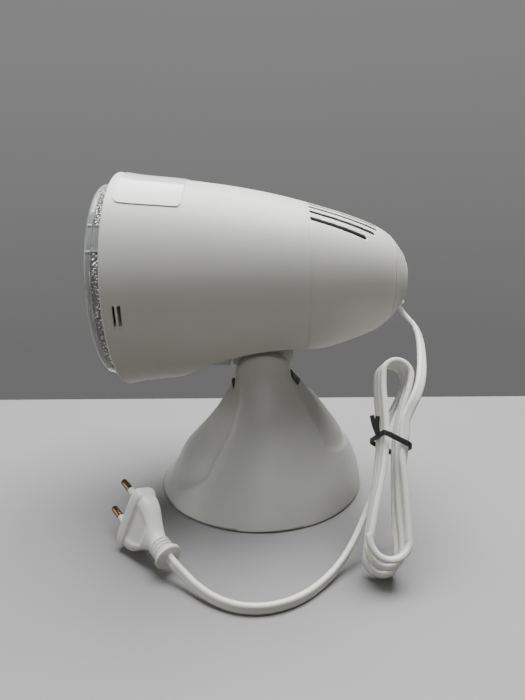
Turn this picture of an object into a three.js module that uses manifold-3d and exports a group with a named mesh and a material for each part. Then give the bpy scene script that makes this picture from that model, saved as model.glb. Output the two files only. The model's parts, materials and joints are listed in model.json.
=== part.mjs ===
// Infrared heat therapy lamp: a pressed glass reflector lamp in a tilting head on a bell shaped base.
// Lengths are millimetres and +Z is up. The origin is the centre of the base on the table.
// The lamp shines towards -X, the cord leaves the back of the head at +X, the hinge pin lies along Y.
import * as THREE from 'three';
import { mergeVertices } from 'three/addons/utils/BufferGeometryUtils.js';
import Module from 'manifold-3d';

const wasm = await Module();
wasm.setup();

// Angles and counts
const quarterTurn = Math.PI / 2;
const degree = Math.PI / 180;
const roundSteps = 28;
const sectorSteps = 10;
const stackSteps = 24;
const smallSteps = 16;
const screwSteps = 8;
const hexSteps = 6;
const curveSteps = 8;
const bevelSteps = 2;

// Clearances that every fit uses
const seat = 0.3;
const overrun = 4;

// Head shell
const headLength = 179.6;
const rimRadius = 67.5;
const shellWall = 2.4;
const seamPlace = 114.6;
const capPlace = 168.5;
const spigotLength = 6;
const spigotWall = 1.6;
const rimPlace = 85.6;
const outlineShares = [
  [0, 1], [0.08, 0.966], [0.214, 0.93], [0.375, 0.874], [0.536, 0.794], [0.697, 0.683],
  [0.804, 0.594], [0.885, 0.508], [0.938, 0.419], [0.976, 0.302], [1, 0.207],
];

// Hinge
const pivotHeight = 78.5;
const pivotPlace = 1.8;
const axisRise = 64.8;
const drumRadius = 20.2;
const slotGap = 1.3;
const neckHalf = 10.9;
const washerThickness = 1;
const washerRadius = 14;
const boltRadius = 2.5;
const boltHeadRadius = 4.4;
const boltHeadThickness = 3;
const nutRadius = 4.5;
const nutThickness = 4;
const boltTail = 0.8;
const notchRadius = 1.6;
const tiltSteps = [-10, 0, 10, 20, 30];
const neckWall = 2.4;
const neckFlangeThickness = 2.4;
const neckFlangeHalf = 20;
const neckFlangeRear = 7.5;
const neckBossHeight = 1.2;
const neckBossRadius = 4;

// Arched relief under the head
const archRadius = 103;
const archAbovePivot = 26.4;
const archBehindPivot = 10.2;
const keelGap = 1.4;
const keelLength = 25;
const keelAbovePivot = 9.1;

// Vents, windows and label on the shell
const ventCount = 10;
const ventStep = 6.3;
const ventTurn = 0.75 * degree;
const ventWidth = 2.4;
const ventLead = 1.1;
const ventFloor = 18;
const ventLengths = [43.5, 43, 42.4, 39.9, 33.9];
const windowPlace = 5.8;
const windowLength = 4.6;
const windowHeight = 13;
const windowDip = 10 * degree;
const labelPlace = 5;
const labelLength = 37;
const labelThickness = 0.3;
const labelHalfAngle = 42 * degree;

// Base
const baseRadius = 71;
const baseWall = 2.6;
const shellLift = 1;
const earFront = 19.8;
const earRear = 22.4;
const earTop = 19.5;
const slotEdgeDrop = 7.5;
const padThickness = 1.1;
const padRadius = 61;
const plateThickness = 2.6;
const plateLift = padThickness + seat;
const baseBossCount = 4;
const baseBossPlace = 52;
const baseBossRadius = 4.2;
const ballastRadius = 44;
const ballastThickness = 3.5;
const leafLength = 30;
const leafWidth = 8;
const leafThickness = 0.8;
const leafRise = 3.2;

// Share of the pivot height, then shares of the base radius: front reach, rear reach, side reach, radius of
// the front and rear faces, radius of the side faces, and how far the side faces' centre lies behind.
const baseSectionShares = [
  [0, 1, 1, 1, 1, 1, 0], [0.068, 0.969, 0.998, 0.965, 0.986, 0.972, 0.021],
  [0.19, 0.9, 0.972, 0.901, 0.958, 0.915, 0.056], [0.311, 0.797, 0.928, 0.835, 0.93, 0.859, 0.07],
  [0.429, 0.666, 0.841, 0.763, 0.901, 0.803, 0.077], [0.548, 0.546, 0.751, 0.683, 0.873, 0.746, 0.092],
  [0.662, 0.448, 0.658, 0.599, 0.845, 0.718, 0.092], [0.777, 0.372, 0.563, 0.514, 0.817, 0.704, 0.056],
  [0.892, 0.303, 0.444, 0.458, 0.789, 0.718, 0.035], [1.006, 0.278, 0.345, 0.406, 0.775, 0.76, 0.025],
  [1.274, 0.263, 0.29, 0.338, 0.775, 0.845, 0.025],
];

// Lamp, after the standard 121 mm pressed glass reflector lamp with a 27 mm screw cap
const lampRadius = 60.5;
const lampProud = 10.3;
const lensRimDepth = 4.2;
const lensCrown = 4;
const glassThickness = 3;
const flangeDepth = 7.4;
const reflectorLength = 94;
const reflectorSpread = 1.5;
const lampNeckRadius = 17;
const lampNeckLength = 14;
const screwCapRadius = 13.1;
const screwCapLength = 22;
const screwCapWall = 0.6;
const threadDepth = 0.9;
const threadCount = 5;
const insulatorLength = 3.2;
const insulatorRadius = 9;
const contactRadius = 4.6;
const contactLength = 1.2;
const filamentRadius = 1.3;
const filamentHalf = 8;
const filamentLeadRadius = 0.6;
const lampMountRadius = 10;
const lampMountThickness = 1.2;

// Lamp ring and lampholder
const ringPlace = 1;
const ringLength = 11;
const ringLip = 2.2;
const ringWall = 3;
const tongueLength = 1.6;
const tongueHeight = 11;
const holderRadius = 21;
const holderWall = 3.6;
const holderFloor = 14;
const holderShellWall = 0.6;
const holderLip = 3;
const holderSpringWidth = 7;
const plateDisc = 1.8;
const lugLength = 7;
const lugWidth = 10;
const lugDepth = 9;
const lugCount = 3;
const airHoleCount = 6;
const airHoleRadius = 5;
const airHoleRing = 29;
const baffleLength = 44;
const baffleGap = 3.2;
const baffleThickness = 0.6;
const baffleHalfAngle = 49 * degree;
const baffleRibWidth = 2;

// Wiring
const blockWidth = 22;
const blockHeight = 12;
const blockDepth = 13;
const blockDrop = 13;
const wireRadius = 1.1;
const wireSpread = 5.5;
const clampWidth = 20;
const clampHeight = 9;
const clampDepth = 8;
const clampRise = 12;

// Screws
const screwRadius = 1.5;
const screwHeadRadius = 3;
const screwHeadHeight = 1.8;
const screwLength = 6;

// Cord, a flat two core lead
const cordWidth = 5.6;
const cordThickness = 3.4;
const cordGap = 0.3;
const exitFall = 58 * degree;
const exitRadius = 16.8;
const exitPlace = 177.4;
const sleeveInside = 15;
const sleeveOutside = 1;
const sleeveRadius = 4.7;
const sleeveEndRadius = 4;
const sleeveBore = 3.2;
const sleeveFlangeRadius = 6.2;
const sleeveFlangeThickness = 1.6;
const sleeveFlangePlace = 11;

// Steps along the cord's stretches, sides of a section, and the flat section's corner
const sectionSides = 8;
const leadSteps = 18;
const tailSteps = 34;
const innerSteps = 20;
const wireSteps = 14;
const cornerShare = 0.55;

// Hank: loops stacked on each other, drawn in at the waist by a twist tie
const hankLoops = 3;
const hankFoot = new THREE.Vector3(62.8, -113.5, 5.6);
const hankTop = new THREE.Vector3(80, -50, 103);
const hankTurn = -1 * degree;
const hankStep = cordWidth + 0.6;
const hankBelow = 72;
const hankShorter = 11;
const hankAbove = 47;
const hankWaistHeight = 68.5;
const hankWaistHalf = 4.4;
const hankFootHalf = 10.5;
const hankFootNarrower = 2.5;
const hankHeadHalf = 8;
const hankStart = 6;
const hankEnd = 6;
const hankEndAside = 6.2;
const hankEndBehind = 4.3;
const twistRun = 26;
const twistUnder = 21;
const loopSteps = 24;
const leastGap = 0.4;
const tieWidth = 3;
const tieThickness = 1.2;
const tieLean = 0.05;
const tieSlope = 0.34;
const tieEndLength = 10;
const tieEndRise = 1.1;
const tieSpreadShares = [0.12, 0.44];

// Plug, after the flat two pin mains plug
const plugWidth = 35.3;
const plugThickness = 13.7;
const plugLength = 28.6;
const plugBevel = 2.6;
const plugOutlineShares = [
  [0, 0.36], [0.14, 0.42], [0.34, 0.66], [0.56, 0.93], [0.72, 1], [1, 1],
];
const ribCount = 4;
const ribStep = 2.1;
const ribRadius = 6;
const ribGroove = 4.9;
const collarRadius = 7.4;
const collarLength = 2.2;
const pinLength = 19;
const pinRadius = 2;
const pinSpacing = 18.6;
const pinBareLength = 9;
const pinSunk = 8;
const pinSleeveWall = 0.35;
const plugEntry = new THREE.Vector3(-48.5, -107.6, 11.6);
const plugAim = new THREE.Vector3(-85.7, -64, 23.8);
const plugLean = 18 * degree;

// Places along the head, counted from the rim plane
const pivotAlong = pivotPlace + rimPlace;
const neckFront = pivotAlong - drumRadius;
const neckBack = pivotAlong + drumRadius;
const archTop = archAbovePivot - axisRise;
const ceilingTop = archTop + shellWall;
const neckBossTop = ceilingTop + neckBossHeight;
const neckFlangeUnder = neckBossTop + seat;
const slotHalf = neckHalf + seat + washerThickness + seat;
const axisHeight = pivotHeight + axisRise;
const lampFront = -lampProud;
const vertexAlong = lampFront + flangeDepth + reflectorLength;
const lampNeckEnd = vertexAlong + lampNeckLength - lampNeckRadius / 2;
const capFront = lampNeckEnd + seat;
const capBack = capFront + screwCapLength;
const contactEnd = capBack + insulatorLength + contactLength + 2 * seat;
const holderFront = capFront + seat;
const holderBack = contactEnd + holderFloor + 2 * seat;
const plateAlong = holderBack + seat;
const holderScrewOut = holderRadius - holderWall - screwRadius;

// Materials
const shellWhite = material('#e6e6e2', 0.55, 0);
const shellShade = material('#dedfda', 0.6, 0);
const baseWhite = material('#dddedb', 0.5, 0);
const glassClear = new THREE.MeshStandardMaterial({
  color: '#dfe6e8', roughness: 0.08, metalness: 0, transparent: true, opacity: 0.45,
});
const mirrorGlass = material('#c9c9c6', 0.15, 0.8);
const brass = material('#b89555', 0.35, 1);
const steel = material('#a9abad', 0.35, 1);
const zinc = material('#c0c2c4', 0.4, 1);
const ceramic = material('#eceae2', 0.4, 0);
const rubber = material('#3a3b3c', 0.9, 0);
const cordWhite = material('#e3e4df', 0.5, 0);
const tieBlack = material('#141414', 0.6, 0);
const labelWhite = material('#f4f4f2', 0.25, 0);
const fibre = material('#8b7350', 0.8, 0);
const wireBlue = material('#3d6ea8', 0.5, 0);
const wireBrown = material('#6a4630', 0.5, 0);
const blockBlack = material('#28292a', 0.6, 0);
const tungsten = material('#77797c', 0.4, 1);

function material(color, roughness, metalness) {
  return new THREE.MeshStandardMaterial({ color, roughness, metalness });
}

// Middle of the i-th of some equal sectors
function midAngle(i, count) {
  return ((2 * i + 1) * 2 * quarterTurn) / count;
}

const alongX = new THREE.Vector3(1, 0, 0);
const alongY = new THREE.Vector3(0, 1, 0);
const alongZ = new THREE.Vector3(0, 0, 1);

// Solid modelling helpers
function signedVolume(position, index) {
  const a = new THREE.Vector3();
  const b = new THREE.Vector3();
  const c = new THREE.Vector3();
  let total = 0;
  for (let i = 0; i < index.length; i += 3) {
    a.fromBufferAttribute(position, index[i]);
    b.fromBufferAttribute(position, index[i + 1]);
    c.fromBufferAttribute(position, index[i + 2]);
    total += a.dot(b.cross(c)) / 6;
  }
  return total;
}

function solidOf(geometry) {
  const bare = geometry.clone();
  bare.deleteAttribute('normal');
  bare.deleteAttribute('uv');
  const merged = mergeVertices(bare);
  const position = merged.attributes.position;
  const kept = [];
  const index = merged.index.array;
  for (let i = 0; i < index.length; i += 3) {
    const [a, b, c] = [index[i], index[i + 1], index[i + 2]];
    if (a !== b && b !== c && c !== a) kept.push(a, b, c);
  }
  if (signedVolume(position, kept) < 0) kept.reverse();
  const mesh = new wasm.Mesh({
    numProp: 3,
    vertProperties: new Float32Array(position.array),
    triVerts: Uint32Array.from(kept),
  });
  mesh.merge();
  return new wasm.Manifold(mesh);
}

function geometryOf(solid) {
  const mesh = solid.getMesh();
  const geometry = new THREE.BufferGeometry();
  geometry.setAttribute('position', new THREE.BufferAttribute(new Float32Array(mesh.vertProperties), 3));
  geometry.setIndex(new THREE.BufferAttribute(new Uint32Array(mesh.triVerts), 1));
  geometry.computeVertexNormals();
  return geometry;
}

function join(first, ...others) {
  return others.reduce((whole, other) => whole.add(other), first);
}

function cut(first, ...others) {
  return others.reduce((whole, other) => whole.subtract(other), first);
}

function common(first, ...others) {
  return others.reduce((whole, other) => whole.intersect(other), first);
}

function piece(name, solid, look) {
  if (solid.isEmpty()) throw new Error(`${name} is empty`);
  const mesh = new THREE.Mesh(geometryOf(solid), look);
  mesh.name = name;
  return mesh;
}

function block(low, high) {
  const from = new THREE.Vector3(...low);
  const to = new THREE.Vector3(...high);
  const size = to.clone().sub(from);
  const geometry = new THREE.BoxGeometry(size.x, size.y, size.z);
  geometry.translate(...from.add(to).multiplyScalar(0.5));
  return solidOf(geometry);
}

function rod(start, end, radius, steps = smallSteps, endRadius = radius) {
  const from = new THREE.Vector3(...start);
  const to = new THREE.Vector3(...end);
  const along = to.clone().sub(from);
  const geometry = new THREE.CylinderGeometry(endRadius, radius, along.length(), steps);
  const turn = new THREE.Quaternion().setFromUnitVectors(new THREE.Vector3(0, 1, 0), along.normalize());
  geometry.applyQuaternion(turn);
  geometry.translate(...from.add(to).multiplyScalar(0.5));
  return solidOf(geometry);
}

// A flat shape in X and Z with its thickness along Y, centred on Y = 0
function slab(shape, width, steps = roundSteps) {
  const settings = { depth: width, bevelEnabled: false, curveSegments: steps };
  const geometry = new THREE.ExtrudeGeometry(shape, settings);
  geometry.translate(0, 0, -width / 2);
  geometry.rotateX(quarterTurn);
  return solidOf(geometry);
}

// A profile of [along, out] points turned about the X axis
function revolve(profile, steps = roundSteps) {
  const points = profile.map(([along, out]) => new THREE.Vector2(out, along));
  const geometry = new THREE.LatheGeometry(points, steps);
  geometry.rotateZ(-quarterTurn);
  return solidOf(geometry);
}

// A wedge from the axis over the top, running along X
function topWedge(from, length, reach, halfAngle) {
  const arc = Array.from({ length: sectorSteps + 1 }, (_, i) => (
    new THREE.Vector2(0, reach).rotateAround(new THREE.Vector2(), halfAngle * ((2 * i) / sectorSteps - 1))
  ));
  const shape = new THREE.Shape([new THREE.Vector2(), ...arc]);
  const geometry = new THREE.ExtrudeGeometry(shape, { depth: length, bevelEnabled: false });
  geometry.applyMatrix4(new THREE.Matrix4().makeBasis(alongY, alongZ, alongX));
  geometry.translate(from, 0, 0);
  return solidOf(geometry);
}

// A profile of [up, out] points turned about the Z axis
function revolveUp(profile, steps = roundSteps) {
  const points = profile.map(([up, out]) => new THREE.Vector2(out, up));
  const geometry = new THREE.LatheGeometry(points, steps);
  geometry.rotateX(quarterTurn);
  return solidOf(geometry);
}

function ring(from, to, outer, inner, steps = roundSteps) {
  return revolve([[from, inner], [to, inner], [to, outer], [from, outer], [from, inner]], steps);
}

function mapped(solid, matrix) {
  const geometry = geometryOf(solid);
  geometry.applyMatrix4(matrix);
  return solidOf(geometry);
}

function turnedAbout(solid, axis, angle, centre = new THREE.Vector3()) {
  const matrix = new THREE.Matrix4().makeTranslation(centre)
    .multiply(new THREE.Matrix4().makeRotationAxis(axis, angle))
    .multiply(new THREE.Matrix4().makeTranslation(centre.clone().negate()));
  return mapped(solid, matrix);
}

// A screw whose head sits on a face and whose shank goes into it
function screw(name, place, direction, length = screwLength) {
  const into = new THREE.Vector3(...direction).normalize();
  const top = new THREE.Vector3(...place);
  const headTop = top.clone().addScaledVector(into, -screwHeadHeight);
  const tip = top.clone().addScaledVector(into, length);
  const head = rod(headTop.toArray(), top.toArray(), screwHeadRadius, screwSteps, screwHeadRadius);
  const root = top.clone().addScaledVector(into, -seat);
  const shank = rod(root.toArray(), tip.toArray(), screwRadius, screwSteps);
  return piece(name, join(head, shank), zinc);
}

function screwHole(place, direction, length = screwLength) {
  const into = new THREE.Vector3(...direction).normalize();
  const from = new THREE.Vector3(...place).addScaledVector(into, -overrun);
  const to = new THREE.Vector3(...place).addScaledVector(into, length + seat);
  return rod(from.toArray(), to.toArray(), screwRadius + seat, screwSteps);
}

// Head outline: a spline through the shares, moved inwards by a wall
function outline(inset) {
  const points = outlineShares.map(([along, out]) => new THREE.Vector2(along * headLength, out * rimRadius));
  const curve = new THREE.SplineCurve(points);
  const steps = points.length - 1;
  const moved = [];
  for (let i = 0; i <= steps; i += 1) {
    const point = curve.getPoint(i / steps);
    const tangent = curve.getTangent(i / steps);
    moved.push([point.x + tangent.y * inset, point.y - tangent.x * inset]);
  }
  return moved;
}

function radiusAt(along, inset) {
  const points = outline(inset);
  const next = points.findIndex(([place]) => place >= along);
  if (next === 0) return points[0][1];
  if (next < 0) return points[points.length - 1][1];
  const [a, b] = [points[next - 1], points[next]];
  return a[1] + ((b[1] - a[1]) * (along - a[0])) / (b[0] - a[0]);
}

// The head's full body between two places, solid to the axis
function headSlice(from, to, inset, steps = roundSteps) {
  const between = outline(inset).filter(([along]) => along > from + seat && along < to - seat);
  const profile = [[from, 0], [from, radiusAt(from, inset)], ...between, [to, radiusAt(to, inset)], [to, 0]];
  return revolve(profile, steps);
}

// The arch that is taken out of the head's underside above the base
function reliefArch(growth) {
  const centreUp = archTop - archRadius;
  const centreAlong = pivotAlong + archBehindPivot;
  const shape = new THREE.Shape();
  shape.absarc(centreAlong, centreUp, archRadius + growth, 0, Math.PI, false);
  shape.closePath();
  return slab(shape, 2 * (rimRadius + overrun));
}

function shellPiece(from, to) {
  const skin = cut(headSlice(from, to, 0), reliefArch(0));
  const hollow = cut(headSlice(from - overrun, to + overrun, shellWall), reliefArch(shellWall));
  return cut(skin, hollow);
}

// Windows in both sides of the rim, which the lamp ring's tongues snap into
function sideWindow(from, length, height, low, high, side) {
  const tall = block([from, low, -height / 2], [from + length, high, height / 2]);
  const turned = turnedAbout(tall, alongX, -windowDip);
  return side > 0 ? turned : mapped(turned, new THREE.Matrix4().makeScale(1, -1, 1));
}

function neckBossPlaces() {
  const inner = neckHalf + seat + neckBossRadius;
  const front = neckFront + neckBossRadius;
  const rear = neckBack + neckFlangeRear - neckBossRadius;
  return [[front, inner], [front, -inner], [rear, inner], [rear, -inner]];
}

function frontShell() {
  const keelFront = neckFront - keelGap - keelLength;
  const keelBack = neckFront - keelGap;
  const keelUnder = keelAbovePivot - axisRise;
  const skin = headSlice(0, seamPlace - seat / 2, 0);
  const keelBlock = block([keelFront, -neckHalf, keelUnder], [keelBack, neckHalf, archTop + shellWall]);
  const keel = common(keelBlock, skin, reliefArch(shellWall / 2));
  const keelHollow = block(
    [keelFront + shellWall, shellWall - neckHalf, keelUnder + shellWall],
    [keelBack - shellWall, neckHalf - shellWall, ceilingTop + overrun],
  );
  const bosses = neckBossPlaces().map(([along, across]) => (
    rod([along, across, archTop - overrun], [along, across, neckBossTop], neckBossRadius)
  ));
  const bossSpace = cut(headSlice(0, seamPlace - seat, shellWall / 2), reliefArch(seat));
  const bossShare = common(join(...bosses), bossSpace);
  const neckHole = block(
    [neckFront - seat, -neckHalf - seat, -rimRadius],
    [neckBack + seat, neckHalf + seat, neckFlangeUnder],
  );
  const holes = neckBossPlaces().map(([along, across]) => (
    screwHole([along, across, neckFlangeUnder + neckFlangeThickness + seat], [0, 0, -1])
  ));
  const windows = [1, -1].map((side) => (
    sideWindow(windowPlace, windowLength, windowHeight, rimRadius / 2, rimRadius + overrun, side)
  ));
  const body = join(shellPiece(0, seamPlace - seat / 2), keel, bossShare);
  return piece('front_shell', cut(body, keelHollow, neckHole, ...holes, ...windows), shellWhite);
}

// Cooling slots cut from above, longest in the middle, drawn together a little towards the back
function ventSlot(index) {
  const place = index - (ventCount - 1) / 2;
  const length = ventLengths[Math.floor(Math.abs(place))];
  const half = ventWidth / 2;
  const shape = new THREE.Shape();
  shape.moveTo(0, -half);
  shape.lineTo(length - half, -half);
  shape.absarc(length - half, 0, half, -quarterTurn, quarterTurn, false);
  shape.lineTo(0, half);
  shape.closePath();
  const settings = { depth: rimRadius, bevelEnabled: false, curveSegments: bevelSteps };
  const geometry = new THREE.ExtrudeGeometry(shape, settings);
  geometry.rotateZ(-place * ventTurn);
  geometry.translate(seamPlace + ventLead, place * ventStep, ventFloor);
  return solidOf(geometry);
}

function lugAngles() {
  return Array.from({ length: lugCount }, (_, i) => midAngle(i, lugCount));
}

function plateRadius() {
  return radiusAt(plateAlong + plateDisc, shellWall + baffleGap + baffleThickness) - seat;
}

function lugCentre() {
  return plateRadius() - lugDepth / 2;
}

function rearCover() {
  const body = shellPiece(seamPlace + seat / 2, capPlace - seat / 2);
  const spigotOuter = radiusAt(seamPlace, shellWall) - seat;
  const spigot = cut(
    ring(seamPlace - spigotLength, seamPlace + spigotLength, spigotOuter, spigotOuter - spigotWall),
    reliefArch(shellWall + seat),
  );
  const spigotRoot = common(
    join(
      ring(seamPlace + seat, seamPlace + spigotLength, spigotOuter + shellWall / 2, spigotOuter - spigotWall),
      spigot,
    ),
    headSlice(seamPlace - spigotLength, seamPlace + spigotLength, shellWall / 3),
  );
  const lugStart = plateAlong + plateDisc + seat;
  const lugs = lugAngles().map((angle) => {
    const lug = block(
      [lugStart, -lugWidth / 2, lugCentre() - lugDepth / 2],
      [lugStart + lugLength, lugWidth / 2, rimRadius],
    );
    return turnedAbout(lug, alongX, angle);
  });
  const lugSpace = headSlice(lugStart - overrun, lugStart + lugLength + overrun, shellWall / 2);
  const lugShare = common(join(...lugs), lugSpace);
  const holes = lugAngles().map((angle) => (
    turnedAbout(screwHole([plateAlong - seat, 0, lugCentre()], [1, 0, 0]), alongX, angle)
  ));
  const vents = Array.from({ length: ventCount }, (_, i) => ventSlot(i));
  const whole = join(body, cut(spigotRoot, reliefArch(shellWall + seat)), lugShare);
  return piece('rear_cover', cut(whole, ...holes, ...vents), shellWhite);
}

// Direction in which the cord leaves the head, and the place on the cap where it does
const exitPoint = new THREE.Vector3(exitPlace, 0, -exitRadius);
const exitAim = new THREE.Vector3(Math.cos(exitFall), 0, -Math.sin(exitFall));

function alongExit(distance) {
  return exitPoint.clone().addScaledVector(exitAim, distance);
}

function exitRod(from, to, radius, endRadius = radius) {
  return rod(alongExit(from).toArray(), alongExit(to).toArray(), radius, smallSteps, endRadius);
}

function rearCap() {
  const body = cut(
    headSlice(capPlace + seat / 2, headLength, 0),
    headSlice(capPlace - overrun, headLength - shellWall, shellWall),
  );
  const outer = radiusAt(capPlace, shellWall) - seat;
  const lip = ring(capPlace - spigotLength / 2, capPlace + spigotLength / 2, outer, outer - spigotWall);
  const root = ring(capPlace + seat, capPlace + spigotLength / 2, outer + shellWall, outer - spigotWall);
  const lipSpace = headSlice(capPlace - spigotLength, headLength - seat, shellWall / 2);
  const lipShare = common(join(lip, root), lipSpace);
  const slot = block(
    [headLength - shellWall / 2, -shellWall, -sleeveFlangeRadius],
    [headLength + overrun, shellWall, -seat],
  );
  const hole = exitRod(-sleeveInside, sleeveInside, sleeveRadius + seat);
  return piece('rear_cap', cut(join(body, lipShare), slot, hole), shellWhite);
}

// Strain relief: a tapered sleeve with a flange behind the cap's wall
function cordSleeve() {
  const taper = exitRod(-sleeveInside, sleeveOutside, sleeveEndRadius, sleeveRadius);
  const flange = exitRod(-sleeveFlangePlace - sleeveFlangeThickness, -sleeveFlangePlace, sleeveFlangeRadius);
  const bore = exitRod(-sleeveInside - overrun, sleeveOutside + overrun, sleeveBore);
  return piece('cord_sleeve', cut(join(taper, flange), bore), cordWhite);
}

function blankLabel() {
  const from = labelPlace;
  const to = labelPlace + labelLength;
  const outside = headSlice(from, to, -seat - labelThickness);
  const sheet = cut(outside, headSlice(from - overrun, to + overrun, -seat));
  const wedge = topWedge(from, labelLength, 2 * rimRadius, labelHalfAngle);
  return piece('blank_label', common(sheet, wedge), labelWhite);
}

// Reflector lamp
function reflectorRadius(along) {
  const full = lampRadius - glassThickness / 2;
  return full * Math.sqrt(Math.max(vertexAlong - along, 0) / reflectorLength);
}

function lampLens() {
  const rimBack = lampFront + lensRimDepth;
  const profile = [[rimBack, 0], [rimBack, lampRadius], [lampFront, lampRadius]];
  for (let i = 0; i <= curveSteps; i += 1) {
    const out = (lampRadius - glassThickness) * (1 - i / curveSteps);
    const share = 1 - (out / (lampRadius - glassThickness)) ** 2;
    profile.push([lampFront - lensCrown * share, out]);
  }
  return piece('lamp_lens', revolve(profile, roundSteps), glassClear);
}

function lampReflector() {
  const start = lampFront + lensRimDepth + seat;
  const flangeBack = lampFront + lampProud - seat;
  const outer = [[start, lampRadius], [flangeBack, lampRadius]];
  const inner = [];
  const nearNeck = vertexAlong - reflectorLength * (lampNeckRadius / lampRadius) ** 2;
  for (let i = 0; i <= curveSteps; i += 1) {
    const share = (i / curveSteps) ** reflectorSpread;
    const along = nearNeck - (nearNeck - flangeBack - seat) * (1 - share);
    outer.push([along, reflectorRadius(along)]);
    inner.push([along, reflectorRadius(along) - glassThickness]);
  }
  outer.push([lampNeckEnd, screwCapRadius + seat]);
  inner.push([lampNeckEnd, screwCapRadius + seat - glassThickness]);
  inner.unshift([start, lampRadius - glassThickness]);
  return piece('lamp_reflector', revolve([...outer, ...inner.reverse(), outer[0]], roundSteps), mirrorGlass);
}

function threadedProfile(from, to, radius, depth) {
  const points = [];
  for (let i = 0; i <= 2 * threadCount; i += 1) {
    const along = from + ((to - from) * i) / (2 * threadCount);
    points.push([along, i % 2 === 0 ? radius - depth : radius]);
  }
  return points;
}

function lampScrewCap() {
  const outer = threadedProfile(capFront, capBack, screwCapRadius, threadDepth);
  const bore = screwCapRadius - threadDepth - screwCapWall;
  const body = revolve([[capFront, bore], ...outer, [capBack, bore], [capFront, bore]], smallSteps);
  return piece('lamp_screw_cap', body, brass);
}

function lampInsulator() {
  const from = capBack + seat;
  const end = from + insulatorLength;
  const body = revolve([[from, 0], [from, insulatorRadius], [end, contactRadius], [end, 0]], smallSteps);
  return piece('lamp_insulator', body, blockBlack);
}

function lampContact() {
  const from = capBack + insulatorLength + 2 * seat;
  return piece('lamp_contact', rod([from, 0, 0], [from + contactLength, 0, 0], contactRadius), brass);
}

// Coiled filament across the axis on two lead wires that run back through the mount disc
function lampFilament() {
  const focus = vertexAlong - (lampRadius * lampRadius) / (4 * reflectorLength);
  const coil = rod([focus, -filamentHalf, 0], [focus, filamentHalf, 0], filamentRadius, screwSteps);
  const leadAcross = filamentHalf - filamentRadius;
  const leads = [leadAcross, -leadAcross].map((across) => (
    rod([focus, across, 0], [lampNeckEnd - seat, across, 0], filamentLeadRadius, screwSteps)
  ));
  return piece('lamp_filament', join(coil, ...leads), tungsten);
}

function lampMount() {
  const to = lampNeckEnd - lampMountThickness;
  const from = to - lampMountThickness;
  const disc = rod([from, 0, 0], [to, 0, 0], lampMountRadius);
  const leadAcross = filamentHalf - filamentRadius;
  const holes = [leadAcross, -leadAcross].map((across) => (
    rod([from - overrun, across, 0], [to + overrun, across, 0], filamentLeadRadius + seat, screwSteps)
  ));
  return piece('lamp_mount', cut(disc, ...holes), ceramic);
}

// Ring inside the rim that carries the lamp's flange; its tongues snap into the shell's windows
function lampRing() {
  const from = ringPlace;
  const to = ringPlace + ringLength;
  const body = cut(
    headSlice(from, to, shellWall + seat),
    headSlice(from - overrun, to + overrun, shellWall + seat + ringWall),
  );
  const lipInner = reflectorRadius(from) + seat;
  const lip = cut(
    headSlice(from, from + ringLip, shellWall + seat + ringWall / 2),
    rod([from - overrun, 0, 0], [to + overrun, 0, 0], lipInner, roundSteps),
  );
  const middle = windowPlace + (windowLength - tongueLength) / 2;
  const tongues = [1, -1].map((side) => (
    sideWindow(middle, tongueLength, tongueHeight, rimRadius / 2, rimRadius, side)
  ));
  const tongueShare = cut(
    common(join(...tongues), headSlice(from, to, shellWall / 2)),
    headSlice(from - overrun, to + overrun, shellWall + 2 * seat),
  );
  return piece('lamp_ring', join(body, lip, tongueShare), shellShade);
}

function wireHoleRods(from, to) {
  return [wireSpread, -wireSpread].map((across) => (
    rod([from, across, 0], [to, across, 0], wireRadius + 2 * seat, screwSteps)
  ));
}

// Lampholder: a ceramic cup, a threaded contact shell in it and a spring tongue at its floor
function holderBody() {
  const bore = screwCapRadius + holderShellWall + 3 * seat;
  const floor = contactEnd + 2 * seat + leafThickness;
  const cup = revolve([
    [holderFront, bore], [floor, bore], [floor, 0], [holderBack, 0], [holderBack, holderRadius],
    [holderFront + holderLip, holderRadius], [holderFront, holderRadius - holderLip / 2], [holderFront, bore],
  ], roundSteps / 2);
  const wireHoles = wireHoleRods(floor - overrun, holderBack + overrun);
  const screwHoles = [1, -1].map((side) => (
    screwHole([plateAlong + plateDisc + seat, side * holderScrewOut, 0], [-1, 0, 0])
  ));
  return piece('lampholder_body', cut(cup, ...wireHoles, ...screwHoles), ceramic);
}

function holderShell() {
  const inner = screwCapRadius + seat;
  const outer = screwCapRadius + seat + holderShellWall;
  const body = ring(holderFront + holderLip, contactEnd - contactLength, outer, inner, smallSteps);
  return piece('lampholder_shell', body, brass);
}

function holderSpring() {
  const from = contactEnd + seat;
  const half = holderSpringWidth / 2;
  const reach = screwCapRadius - half;
  const tongue = block([from, -half, -reach], [from + leafThickness, half, reach]);
  return piece('lampholder_spring', tongue, brass);
}

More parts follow.
